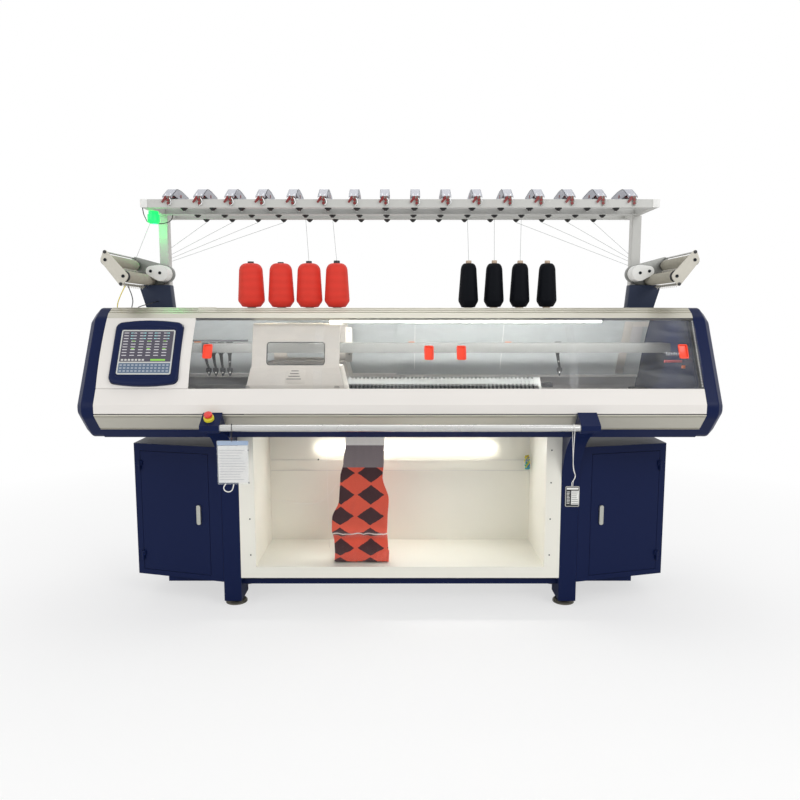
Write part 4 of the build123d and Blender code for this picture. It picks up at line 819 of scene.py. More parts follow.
def bezel_ring(inset, steps=5):
    """Outline of the bezel, drawn in by an inset: bulged top and bottom, round corners"""
    half_w = BEZEL_WIDTH / 2 - inset
    half_h = BEZEL_HEIGHT / 2 - inset
    radius = max(BEZEL_RADIUS - inset, 6)
    points = []
    for x, y in rounded(2 * half_w, 2 * half_h, radius, steps):
        points.append((x, y + (1 if y > 0 else -1) * BEZEL_BULGE * (1 - (x / half_w) ** 2)))
    middle = (0, half_h + BEZEL_BULGE)
    top = points[:steps + 1] + [(x, half_h + BEZEL_BULGE * (1 - (x / half_w) ** 2))
                                for x in (half_w * 0.5, half_w * 0.2)]
    top += [middle] + [(-x, y) for x, y in reversed(top[steps + 1:])]
    left = points[steps + 1:2 * steps + 2]
    return top + left + [(-x, -y) for x, y in top + left]


class KNITTING_OT_control(KnittingOperator, bpy.types.Operator):
    """Make the operator panel: soft bezel, display with rows of cells, and its keypad"""
    bl_idname = "knitting.control"
    bl_label = "Operator panel"

    # Fields on the screen: name, outline, height over the screen, thickness and material,
    # then columns, pitch, rows and row pitch of a field that repeats
    fields = (
        ("display", (216, 142, 2, 3, (0, 26)), 0, 0.5, "lcd_glass"),
        ("display_cell_white", (20, 3.4, 1, 2, (-92, 88)), 0.5, 0.3, "lcd_white", 6, 33.6, 9, 13),
        ("display_cell_cyan", (15, 4, 1, 2, (-66, 88)), 0.5, 0.3, "lcd_cyan", 4, 50, 3, 13),
        ("display_cell_green", (13, 4, 1, 2, (-58, 50)), 0.5, 0.3, "lcd_green", 3, 66, 2, 36),
        ("display_icon", (10, 8, 1, 2, (-96, -37)), 0.5, 0.3, "lcd_border", 7, 14.6, 1, 13),
        ("ready_cell", (62, 8, 1, 3, (54, -37)), 0.5, 0.35, "lcd_green"),
        ("key_field", (216, 45, 2, 3, (0, -74)), 0, 0.5, "key_plastic"),
        ("key", (10, 6.4, 1, 2, (-98, -61)), 0.4, 1, "key_mark", 13, 16.3, 3, 13.4))
    # How far each ring of the bezel is drawn in, and how far it stands out
    bezel = ((0, -12), (0, 12), (1.2, 17), (4, 20.5), (9, 22), (24, 22), (26, 21.6), (30, 17.5))

    def build(self, scene):
        place = shifted(on_slope, BEZEL_X, BEZEL_ALONG)
        make("panel_bezel", "navy_abs", "root", [(lofted, [
            [place(u, v, out) for u, v in bezel_ring(inset)] for inset, out in self.bezel])],
            node="screen_bezel", smooth=35)
        for name, outline, lift, thick, material, *grid in self.fields:
            out = SCREEN_OUT + lift
            shapes = [(extruded, rounded(*outline), place, out, out + thick)]
            if grid:
                columns, pitch, rows, drop = grid
                repeated(name, material, "root", shapes, columns, (pitch, 0, 0), rows,
                         (0, -drop * SLOPE_Y, -drop * SLOPE_Z))
            else:
                make(name, material, "root", shapes)


class KNITTING_OT_carriage(KnittingOperator, bpy.types.Operator):
    """Add the slots, seams, screws and rims of the carriage covers"""
    bl_idname = "knitting.carriage"
    bl_label = "Carriage details"

    def build(self, scene):
        for side, turn in (("front", 1), ("rear", -1)):
            self.cover(side, turn)
            self.window_rim(side, turn)
        place = shifted(facing, CARRIAGE_X)
        make("guide_plate", "cream_abs", "carriage", [
            (extruded, rounded(34, 168, 4, 3, (205.5, 1206)), place, 98, 101)], bevel=0.0006)
        make("guide_plate_screws", "zinc_plate", "carriage", [
            (lathed, [(3.6, 98.4), (3.6, 97.6), (0, 97.6)], shifted(place, 207, z), 12)
            for z in (1160, 1210, 1272)])

    def cover(self, side, turn):
        """Vent plate, slots, seam and screws on the leaning face of a cam box"""
        lean = (CAM_FRONT_Y - VENT_FOOT_Y) / (CAM_TOP_Z - VENT_FOOT_Z)

        def place(u, v, w):
            y = CAM_FRONT_Y - max(v - VENT_FOOT_Z, 0) * lean - w
            return at(CARRIAGE_X + u, turn * y, v)

        make(f"vent_plate_{side}", "cream_abs", "carriage", [
            (extruded, rounded(86, 58, 4, 3, (0, 1084)), place, -0.4, 1.0)], bevel=0.0003)
        slots = [((right - left, 3.6, 1.6, 2, ((left + right) / 2, 1107 - 11.6 * k)), 0.6, 1.3)
                 for k, (left, right) in enumerate(((-17, 15), (-22, 16), (-30, 20), (-39, 25)))]
        slots += [((22 + 3 * k, 2.8, 1.3, 2, (x, 1041 - 6.4 * k)), -0.6, 0.4)
                  for x in (-209, 181) for k in range(4)]
        make(f"vents_{side}", "vent_shadow", "carriage", [
            (extruded, rounded(*slot), place, low, high) for slot, low, high in slots])
        screw = [(4.4, -1), (4.4, 0.6), (3.4, 1.2), (2, 1.2), (1.8, 0.4), (0, 0.4)]
        make(f"cover_screws_{side}", "zinc_plate", "carriage", [
            (lathed, screw, shifted(place, x, z), 12) for x in (-205, 205) for z in (925, 985)])
        make(f"cover_seam_{side}", "black_nylon", "carriage", [
            (extruded, rounded(440, 3, 1.2, 2, (0, 1003)), place, -0.5, 0.25)])

    def window_rim(self, side, turn):
        """Dark sealing rim round the window of the bridge"""
        foot_y, head_y, top_z = 282, 226, 1312
        lean = (foot_y - head_y) / (top_z - CAM_TOP_Z)
        outer = rounded(255, 100, 14, 4, (0, 1181))
        inner = rounded(248, 93, 11, 4, (0, 1181))
        make(f"window_rim_{side}", "black_nylon", "carriage", [(lofted, [
            [at(CARRIAGE_X + u, -turn * (foot_y - (v - CAM_TOP_Z) * lean + w), v)
             for u, v in line]
            for line, w in ((outer, 0.2), (outer, 1.2), (inner, 1.2), (inner, -5))], False)])


class KNITTING_OT_carriers(KnittingOperator, bpy.types.Operator):
    """Make the yarn carriers with tapered arms, guide rings and ceramic tips"""
    bl_idname = "knitting.carriers"
    bl_label = "Yarn carriers"

    def build(self, scene):
        for number in range(1, 6):
            node = f"yarn_carrier_{number}"
            low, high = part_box(node)
            rail = max(number - 2, 0)
            outward = 1 if number in (2, 5) else -1
            track = 2 * rail + (outward + 1) // 2
            side = (rail - 1.5) * RAIL_PITCH + outward * (RAIL_HALF + 0.3)
            self.carrier(node, (low.x + high.x) / 2 / MM, side, outward, (track - 3.5) * 4)

    def carrier(self, node, x, side, outward, tip_y):
        """One carrier: slider on the rail, bent arm and pointed tip"""
        place = shifted(facing, x, 0, side, outward)
        shapes = [(extruded, rounded(29, 2 * CARRIER_HALF + 8, 3, 3, (0, RAIL_Z)), place, 0, 6.6)]
        for z in (RAIL_Z + CARRIER_HALF + 2.4, RAIL_Z - CARRIER_HALF - 2.4):
            shapes.append((extruded, oblong(-14, 14, z - 1.8, z + 1.8), place, -6.4, 1))
        for z in (RAIL_Z - 12, RAIL_Z + 12):
            shapes.append((lathed, [(4.5, 6.4), (4.5, 7), (0, 7)], shifted(place, 0, z), 12))
        arm_y = side + outward * 3.5
        bend_y = (arm_y + tip_y) / 2
        rows = ((RAIL_Z - 20, arm_y, 13), (RAIL_Z - 36, arm_y, 8), (1122, bend_y, 6),
                (1102, tip_y, 5.6), (1098, tip_y, 13), (1084, tip_y, 13), (1060, tip_y, 1.6))
        shapes.append((lofted, [
            [at(x + u, y + v, z) for u, v in oblong(-half, half, -1.2, 1.2)]
            for z, y, half in rows]))
        make(f"{node}_arm", "black_nylon", node, shapes, node=node, smooth=25)
        ring = [(1.6, -1.6), (3.2, -1.5), (3.6, 0), (3.2, 1.5), (1.6, 1.6)]
        make(f"{node}_guides", "glazed_ceramic", node, [
            (lathed, ring, shifted(facing, x, z, y), 12)
            for z, y in ((1128, bend_y), (1078, tip_y))], smooth=60)


class KNITTING_OT_needles(KnittingOperator, bpy.types.Operator):
    """Lay the latch needles into both beds, with dark bands painted as the shade of their edges and
    gaps
    """
    bl_idname = "knitting.needles"
    bl_label = "Needles"

    def build(self, scene):
        pitch = sizes().needle_pitch / MM
        half = sizes().needle_width / MM / 2
        count = int(NEEDLE_FIELD / pitch)
        start = -pitch * (count - 1) / 2
        needle = [(-2.5, 0.6), (-2.5, 2.0), (-0.8, 2.6), (4, 1.4), (40, 1.4), (42, 4.4),
                  (48, 4.4), (50, 1.4), (96, 1.4), (96, -1), (4, -1)]
        for side, turn, lift, body in (("front", -1, 0, "root"), ("rear", 1, 0.43, "rear_bed")):
            def place(u, v, w):
                """Point down a bed, out of it and along it"""
                drop = (u - v) / sqrt(2)
                return at(start + w, turn * (BED_HALF_GAP + drop), BED_TOP_Z + lift - drop)
            repeated(f"needles_{side}", "ground_steel", body, [
                (extruded, needle, place, -half, half)], count, (pitch, 0, 0))
            # Dark bands along each bed: painted shade where its edge and gaps lie in shadow
            make(f"bed_bands_{side}", "bed_band", body, [
                (extruded, oblong(low, high, 1.0, 3.2), shifted(place, dw=-start),
                 -BED_HALF, BED_HALF)
                for low, high in ((44, 47), (52, 74), (80, 100))])


class KNITTING_OT_creel(KnittingOperator, bpy.types.Operator):
    """Make the yarn tensioners, the eyelets and the ends of the creel"""
    bl_idname = "knitting.creel"
    bl_label = "Creel fittings"

    def build(self, scene):
        low, front, back = CREEL_Z + CREEL_LIP, CREEL_FRONT_Y - 6, CREEL_MID_Y + 6
        start = -TENSIONER_PITCH * (TENSIONERS - 1) / 2
        self.hoods(start, front, back, low)
        self.hangings(start, front, low)
        self.rings(start, front, back, low)
        self.eyelets()
        self.ends()

    def row(self, name, material, shapes, bevel=0.0):
        """One piece of each tensioner, copied along the creel"""
        repeated(name, material, "root", shapes, TENSIONERS, (TENSIONER_PITCH, 0, 0),
                 node="tensioners", bevel=bevel)

    def hoods(self, start, front, back, low):
        """Sheet hood cut high in front, tray, lever and wire arms"""
        place = shifted(lengthways, dw=start)
        crown = self.crown(front, back, low)
        roof = crown + [(y * 0.985 - 1.1, z - 2) for y, z in reversed(crown)]
        cut = [(back, low), (-62, low), (-84, low + 15), (front + 30, low + 22), (front, low + 4)]
        self.row("tensioner_hood", "grey_abs", [(extruded, roof, place, -20, 20)] + [
            (extruded, crown + cut, place, side, side + 1.8) for side in (-20, 18.2)])
        self.row("tensioner_tray", "tray_grey", [
            (extruded, oblong(front + 4, back - 4, low, low + 3), place, -13, 13),
            (extruded, rounded(30, 20, 4, 3, (-2, low + 14)), place, -12, 12),
            (lathed, [(0, 0), (9, 0), (9, 4), (5, 7), (0, 7)],
             shifted(at, start, front + 30, low + 3), 14)], 0.0006)
        lever = [(front - 2, low + 3), (front + 22, low + 6), (-70, low + 30), (-64, low + 38),
                 (front + 30, low + 20), (front - 2, low + 12)]
        self.row("tensioner_lever", "claret_abs", [
            (extruded, lever, place, side, side + 4) for side in (-9, 5)] + [
            (lathed, [(0, 0), (11, 0), (11, 1.4), (0, 1.4)],
             lambda u, v, h, side=side: place(-70 + u, low + 32 + 0.7 * v, side + h), 16)
            for side in (-21.4, 20)], 0.0006)
        self.row("tensioner_wire", "bright_wire", [
            (piped, smooth_line([
                at(start + side, front + 26, low + 26), at(start + side, front + 2, low + 14),
                at(start + side, front + 1, low - 3),
                at(start + side * 0.3, front + 16, low - 12)], 3), 1.1 * MM, 6)
            for side in (-10, 10)])

    def hangings(self, start, front, low):
        """Bracket, claw, discs and hook that hang before the front rail"""
        face = shifted(facing, start, 0, front, -1)
        self.row("tensioner_bracket", "zinc_plate", [
            (extruded, rounded(12, 40, 2, 3, (7, low - 8)), face, 0, 1.6)])
        claw = [(-25, low - 13), (-19, low - 18), (-2, low), (-3, low + 13), (-10, low + 11)]
        self.row("tensioner_claw", "claret_abs", [(extruded, claw, face, 1.2, 3.4)] + [
            (lathed, [(0, 1.4), (6.4, 1.4), (6.4, 3.2), (0, 3.2)], shifted(face, 5, z), 14)
            for z in (low - 4, low - 18)])
        hook = [face(11, low + 4, 2), face(20, low - 8, 5), face(17, low - 24, 5),
                face(6, low - 27, 2)]
        self.row("tensioner_hook", "bright_wire", [(piped, smooth_line(hook, 3), 1.3 * MM, 6)])

    def rings(self, start, front, back, low):
        """Ceramic rings where the yarn goes in and out of each hood"""
        self.row("tensioner_ring", "glazed_ceramic", [
            (lathed, [(3.4, -2), (6.2, -2), (6.8, 0), (6.2, 2), (3.4, 2), (3.4, -2)],
             shifted(facing, start, low + 9, front + 6), 14),
            (lathed, [(0, 0), (5, 0), (5, 10), (0, 10)],
             shifted(at, start + 4, back - 10, low - 9), 12)])

    def crown(self, front, back, low):
        """Upper line of a hood from its low front over the round top to its back"""
        length = back - front
        points = [(front, low + 12), (front + length * 0.33, low + 58),
                  (front + length * 0.6, low + 58), (back, low + 45)]
        line = points[:1]
        for before, corner, after in zip(points, points[1:], points[2:]):
            start, end = [[c + (o - c) * CROWN_CORNER / dist(other, corner)
                           for c, o in zip(corner, other)] for other in (before, after)]
            for k in range(5):
                t = k / 4
                line.append(tuple((1 - t) ** 2 * s + 2 * t * (1 - t) * c + t * t * e
                                  for s, c, e in zip(start, corner, end)))
        return line + points[-1:]

    def eyelets(self):
        """Black guide cups with pale tips in three rows"""
        start = -EYELET_PITCH * (TENSIONERS - 1) / 2
        kinds = (
            ("holder", "black_nylon", 16, 40, [
                (15.4, 0), (15.4, 2), (13.6, 4.2), (6.4, 11.4), (3.8, 13), (1.8, 13), (1.8, 0)]),
            ("ring", "glazed_ceramic", 12, 70, [
                (1.8, 12), (3.4, 12.4), (3.6, 13.6), (2.8, 14), (1.6, 14), (1.2, 13)]))
        rows = (CREEL_FRONT_Y + EYELET_INSET, CREEL_MID_Y - EYELET_INSET,
                CREEL_BACK_Y - EYELET_INSET)
        for row, y in enumerate(rows, 1):
            for kind, material, segments, smooth, profile in kinds:
                repeated(f"eyelet_{kind}_{row}", material, "root", [
                    (lathed, profile, shifted(at, start, y, CREEL_Z, -1), segments)],
                    TENSIONERS, (EYELET_PITCH, 0, 0), node="guide_eyelets", smooth=smooth)

    def ends(self):
        """Moulded plugs in the open ends of the side arms"""
        make("arm_plugs", "white_nylon", "root", [
            (extruded, rounded(31, 36, 4, 3, (side * POST_X, CREEL_Z + CREEL_LIP / 2)),
             shifted(facing, 0, 0, y, out), -0.4, 2.4)
            for side in (-1, 1) for y, out in ((CREEL_FRONT_Y, -1), (CREEL_BACK_Y, 1))],
            bevel=0.0008)


class KNITTING_OT_feeders(KnittingOperator, bpy.types.Operator):
    """Make the side feeders: case, plates, ringed bars, yarn hooks and ribbed rollers"""
    bl_idname = "knitting.feeders"
    bl_label = "Side feeders"

    def build(self, scene):
        for side, turn in (("left", -1), ("right", 1)):
            def place(u, v, w):
                """Point out from the middle of the machine, up and back"""
                return at(turn * u, w, v)
            self.frame(side, place)
            self.bars(side, place)
            self.rollers(side, place)

    def frame(self, side, place):
        """Stand, case and the two plates that hold the rollers"""
        bars = [(*UPPER_BAR, 8), (*LOWER_BAR, 8)]
        plate = hull([(*FEED_UPPER, 30), (*FEED_LOWER, 30), (*FEED_CASE, 40), *bars])
        strap = hull([(*FEED_UPPER, 20), (*FEED_LOWER, 20), *bars])
        stand = [(1060, TABLE_Z), (1184, TABLE_Z), (1216, 1488), (1070, 1488)]
        case = hull([(*FEED_CASE, 37), (*FEED_EAR, 24)])
        for name, outline, low, high, material, bevel in (
                ("stand", stand, -27, 27, "slate_powder_coat", 0.004),
                ("plate", plate, FEED_BACK, 44, "dull_aluminium", 0.0015),
                ("case", case, -60, 13.5, "white_nylon", 0.005),
                ("strap", strap, FEED_FRONT - STRAP, FEED_FRONT, "pale_nylon", 0.0015)):
            make(f"feeder_{name}_{side}", material, "root", [
                (extruded, outline, place, low, high)], node="feeder_frames", bevel=bevel)
        screw = [(7, -1), (7, 2), (5.6, 3), (3, 3), (3, 1), (0, 1)]
        make(f"feeder_screws_{side}", "black_oxide_steel", "root", [
            (lathed, screw, shifted(place, x, z, y, -1), 12)
            for x, z, y in ((*FEED_CASE, -60), (*FEED_EAR, -60),
                            (*FEED_UPPER, FEED_FRONT - STRAP),
                            (*FEED_LOWER, FEED_FRONT - STRAP))])

    def bars(self, side, place):
        """Round bars with black end rings, and the row of hooks between the rollers"""
        middle = [(upper + lower) / 2 for upper, lower in zip(FEED_UPPER, FEED_LOWER)]
        make(f"feeder_bars_{side}", "chromed_tube", "root", [
            (lathed, [(4, FEED_FRONT), (4, FEED_BACK)], shifted(place, x, z), 12)
            for x, z in (UPPER_BAR, middle, LOWER_BAR)], node="feeder_frames")
        ring = [(5, -8.5), (7, -9), (7, -11.5), (4, -12), (0, -12)]
        make(f"bar_rings_{side}", "black_nylon", "root", [
            (lathed, ring, shifted(place, x, z, FEED_FRONT), 14)
            for x, z in (UPPER_BAR, LOWER_BAR)])
        first = FEED_FRONT + 26
        for row, (x, z) in enumerate((middle, LOWER_BAR), 1):
            hook = [place(x + 5.4 * cos(a), z + 5.4 * sin(a), first)
                    for a in (2 * pi * k / 14 for k in range(12))]
            hook += [place(x + 4, z - 8, first + 2), place(x + 1, z - 12, first + 3)]
            repeated(f"yarn_hooks_{side}_{row}", "pale_nylon", "root", [
                (piped, hook, 1.2 * MM, 6)], 11, (0, sizes().hook_pitch / MM, 0), smooth=60)

    def rollers(self, side, place):
        """Ribbed rollers with dark end caps; each turns with its own body"""
        for level, (x, z) in (("upper", FEED_UPPER), ("lower", FEED_LOWER)):
            body = f"{side}_{level}_feed_roller"
            outline = [(x + radius * cos(angle), z + radius * sin(angle)) for radius, angle in (
                (FEED_RADIUS - inset, 2 * pi * (k + step) / RIBS)
                for k in range(RIBS) for inset, step in ((0.1, 0), (1.3, 0.5)))]
            front, back = FEED_FRONT + ROLLER_GAP, FEED_BACK - ROLLER_GAP
            make(f"{body}_sleeve", "ribbed_nitrile", body, [
                (extruded, outline, place, front, back)], node=body, smooth=60)
            cap = [(24.8, -0.5), (24.8, 4), (22, 6), (9, 6), (8, 3.5), (0, 3.5)]
            make(f"{body}_ends", "black_nylon", body, [
                (lathed, cap, shifted(place, x, z, y, out), 24)
                for y, out in ((front, -1), (back, 1))] + [
                (lathed, [(7, FEED_FRONT - 2), (7, 40)], shifted(place, x, z), 16)], node=body)


class KNITTING_OT_fabric(KnittingOperator, bpy.types.Operator):
    """Hang the knitted fabric from the rollers, folded over itself on the box floor"""
    bl_idname = "knitting.fabric"
    bl_label = "Knitted fabric"

    def build(self, scene):
        route = [at(0, y, z) for y, z in (
            (-1.5, 905), (-2, 800), (-8, 640), (-34, 500), (-84, 410), (-122, 372), (-136, 345),
            (-118, 322), (-74, 300), (-62, 268), (-92, 238), (-138, 214), (-158, 203),
            (-140, 197.5), (-60, 196.5), (20, 196.5))]
        line = smooth_line(route, 8)
        runs = [0]
        for one, two in zip(line, line[1:]):
            runs.append(runs[-1] + (two - one).length)
        columns = 44
        bm = bmesh.new()
        layer = bm.loops.layers.uv.new("UVMap")
        grid = []
        for i, point in enumerate(line):
            run = runs[i]
            left, right = self.edges(run)
            half = (left + right) / 2
            shift = (right - left) / 2
            wave = min(run / 0.5, 1) * 0.007
            row = []
            for k in range(columns + 1):
                u = 2 * k / columns - 1
                sway = wave * (sin(5.2 * u + 9 * run) * 0.6 + 0.4 * sin(11 * u - 14 * run + 1))
                ahead = (line[min(i + 1, len(line) - 1)] - line[max(i - 1, 0)]).normalized()
                normal = Vector((0, ahead.z, -ahead.y))
                across = Vector((FABRIC_X * MM + shift + u * half, 0, 0))
                spot = point + across - normal * abs(sway) * 0.9
                spot.z = max(spot.z, BOX_FLOOR)
                row.append((bm.verts.new(spot), (half * u + shift + 0.25, run)))
            grid.append(row)
        for one, two in zip(grid, grid[1:]):
            for k in range(columns):
                corners = (one[k], one[k + 1], two[k + 1], two[k])
                face = bm.faces.new([c[0] for c in corners])
                for loop, corner in zip(face.loops, corners):
                    loop[layer].uv = corner[1]
        made = piece("knitted_panel", bm, "jacquard_knit", "root", "knit", smooth=180)
        thick = made.modifiers.new("Thickness", "SOLIDIFY")
        thick.thickness = 0.0022
        thick.offset = 0
        plain_mesh(made)
        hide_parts("knitted_fabric")

    def edges(self, run):
        """How far the cloth reaches left and right of its middle, a length down from the rollers"""
        keys = ((0, 96, 96), (0.17, 88, 100), (0.26, 98, 97), (0.33, 113, 91), (0.44, 117, 121),
                (0.53, 146, 116), (0.63, 144, 114), (0.8, 132, 122), (2, 132, 122))
        for (a, left_a, right_a), (b, left_b, right_b) in zip(keys, keys[1:]):
            if run <= b:
                share = (1 - cos(pi * (run - a) / (b - a))) / 2
                return ((left_a + (left_b - left_a) * share) * MM,
                        (right_a + (right_b - right_a) * share) * MM)


class KNITTING_OT_packages(KnittingOperator, bpy.types.Operator):
    """Make the wound yarn packages on their tubes"""
    bl_idname = "knitting.packages"
    bl_label = "Yarn packages"

    # Each package: x, lower and upper radius, lift off the table, tube radius, tube over the yarn
    red = ((-687, 61, 54, 10, 20, 8), (-549, 60, 52, 8, 20, 5), (-419, 60, 53, 8, 19, 10),
           (-291, 58, 50, 8, 20, 12))
    black = ((316, 46, 37, 6, 18, 12), (434, 46, 38, 10, 17, 13), (553, 46, 38, 10, 18, 12),
             (678, 46, 38, 12, 17, 12))

    def build(self, scene):
        for kind, tube, rows in (("red", "black_nylon", self.red),
                                 ("black", "tan_card_tube", self.black)):
            for i, (x, low, high, lift, core, tip) in enumerate(rows, 1):
                self.package(f"{kind}_{i}", kind, tube, x, low, high, lift / 2, core, tip)

    def package(self, name, kind, tube, x, low, high, lift, core, tip):
        """One package: foot cone, long taper and domed shoulder round a tube"""
        shoulder = TABLE_Z + 168
        top = TABLE_Z + 205
        place = shifted(at, x, PACKAGE_Y)
        profile = [(core + 2, TABLE_Z + lift), (low * 0.68, TABLE_Z + lift + 2),
                   (low * 0.97, TABLE_Z + 30), (low, TABLE_Z + 38), (high, shoulder)]
        for k in range(1, 9):
            angle = pi / 2 * k / 8
            profile.append((core * 0.8 + (high - core * 0.8) * cos(angle) ** 0.8,
                            shoulder + (top - shoulder) * sin(angle)))
        make(f"yarn_package_{name}", f"{kind}_polyester_yarn", "root", [
            (lathed, profile, place, 48)], slot="cone_yarn", node="yarn_cones", smooth=50)
        wall = core * 0.75
        foot = TABLE_Z + lift + 4
        make(f"yarn_tube_{name}", tube, "root", [
            (lathed, [(core, TABLE_Z), (core, foot), (wall, foot)], place, 32),
            (lathed, [(wall, top - 4), (wall - 1, top + tip), (wall - 5, top + tip),
                      (wall - 6, top - 2)], place, 32)],
            slot="cone_yarn", node="yarn_cones", smooth=40)


class KNITTING_OT_interior(KnittingOperator, bpy.types.Operator):
    """Make what shows behind the clear doors: end frames, coil, seal and door edges"""
    bl_idname = "knitting.interior"
    bl_label = "Behind the doors"

    def build(self, scene):
        for name, xs, alongs, material in (
                ("end_frame", (1140, 1182), (-150, 158), "cream_abs"),
                ("end_frame_top", (1182, 1262), (130, 158), "cream_abs"),
                ("end_panel", (1182, 1238), (6, 130), "flange_grey")):
            make(name, material, "root", [
                (extruded, oblong(*xs, *alongs), on_rear_slope, -30, -27)], bevel=0.0005)
        make("rear_door_edges", "white_nylon", "rear_door_2", [
            (extruded, oblong(x - 1.5, x + 1.5, -155, 155),
             lambda u, v, w: on_rear_slope(u, v, arc_out(v, TRACK_STEP) + w), 0.05, 0.6)
            for x in (77, 531)])
        make("bed_end_block", "black_nylon", "root", [
            (extruded, rounded(50, 20, 3, 2, (694, 1022)), facing, -46, -12)], bevel=0.001)
        make("cable_strip", "cable_black", "root", [
            (extruded, rounded(12, 9, 2, 2, (-56, 1231)), lengthways, 12.5 - INNER_X, -707)])
        make("cap_seal", "cable_black", "root", [
            (extruded, oblong(1261, 1269.6, -158, 158), on_slope, -6, -3)])
        repeated("seal_beads", "white_nylon", "root", [
            (extruded, rounded(4, 5, 1.6, 2, (1265, -152)), on_slope, -3.2, -2)],
            26, (0, 12 * SLOPE_Y, 12 * SLOPE_Z))
        self.coil()

    def coil(self):
        """Spring, rod and small lamp on the right end plate"""
        end = INNER_X - 12.2
        turns = [at(1182 + (end - 1182) * k / 120, -200 + 8.5 * cos(2 * pi * k / 12),
                    1176 + 8.5 * sin(2 * pi * k / 12)) for k in range(121)]
        make("end_spring", "bright_wire", "root", [(piped, turns, 1.3 * MM, 6)], smooth=60)
        make("end_rod", "coral_rod", "root", [
            (lathed, [(6, 1180), (6, end)], shifted(lengthways, -200, 1143), 14)])
        make("end_lamp", "lamp_orange", "root", [
            (lathed, [(7, end - 12), (7, end)], shifted(lengthways, -235, 1120), 14)])


class KNITTING_OT_trim(KnittingOperator, bpy.types.Operator):
    """Make the trim of the left table edge, the fittings inside the fabric box and the painted
    shadow lines on its back wall
    """
    bl_idname = "knitting.trim"
    bl_label = "Edge trim and box fittings"

    def build(self, scene):
        self.edge_strip("edge_cover", (-INNER_X, -888), 0.4, 1.6, (0.0, 0.42), "cream_abs")
        self.edge_strip("edge_clip", (-889, -810), 1.6, 5.0, (0.02, 0.5), "cream_abs", 0.0012)
        self.edge_strip("edge_seal", (-905, -480), 0.3, 1.0, (0.74, 0.8), "cable_black")
        # Thin grey lines across the back wall of the box: painted shadows under its folds
        make("box_seams", "flange_grey", "root", [
            (extruded, oblong(-661, 661, z, z + 1.6), facing, 204.2, 202) for z in (612, 558)])
        make("box_screws", "black_nylon", "root", [
            (lathed, [(0, 201), (4, 201), (4, 203.2), (0, 203.2)],
             shifted(facing, -418, 615), 12)] + [
            (lathed, [(0, -201.8), (3.4, -201.8), (3.4, -199.6), (0, -199.6)],
             shifted(facing, x, z), 10) for x in (-688, 688) for z in (250, 420, 590, 740)])
        self.ties()

    def edge_strip(self, name, xs, low, high, share, material, bevel=0.0003):
        """Strip that lies on the sloping table edge between two shares of its width"""
        down = Vector((-67, -45)).normalized()
        out = Vector((down.y, -down.x))
        corners = [tuple(Vector((-200, TABLE_Z)) + down * EDGE_WIDTH * s + out * h)
                   for s, h in oblong(*share, low, high)]
        make(name, material, "root", [(extruded, corners, lengthways, *xs)], bevel=bevel)

    def ties(self):
        """Crumpled ties kept in the right corner of the box"""
        for name, material, shift in (("tie_green", "tie_teal", 0), ("tie_sky", "tie_blue", 9),
                                      ("tie_lemon", "cable_yellow", 17)):
            turns = [at(643 + 17 * sin(2.1 * k + shift), 150 + 22 * cos(1.7 * k + shift),
                        590 + shift + 26 * sin(1.3 * k + 0.4 * shift) + k) for k in range(22)]
            make(name, material, "root", [(piped, smooth_line(turns, 3), 2.6 * MM, 6)], smooth=60)


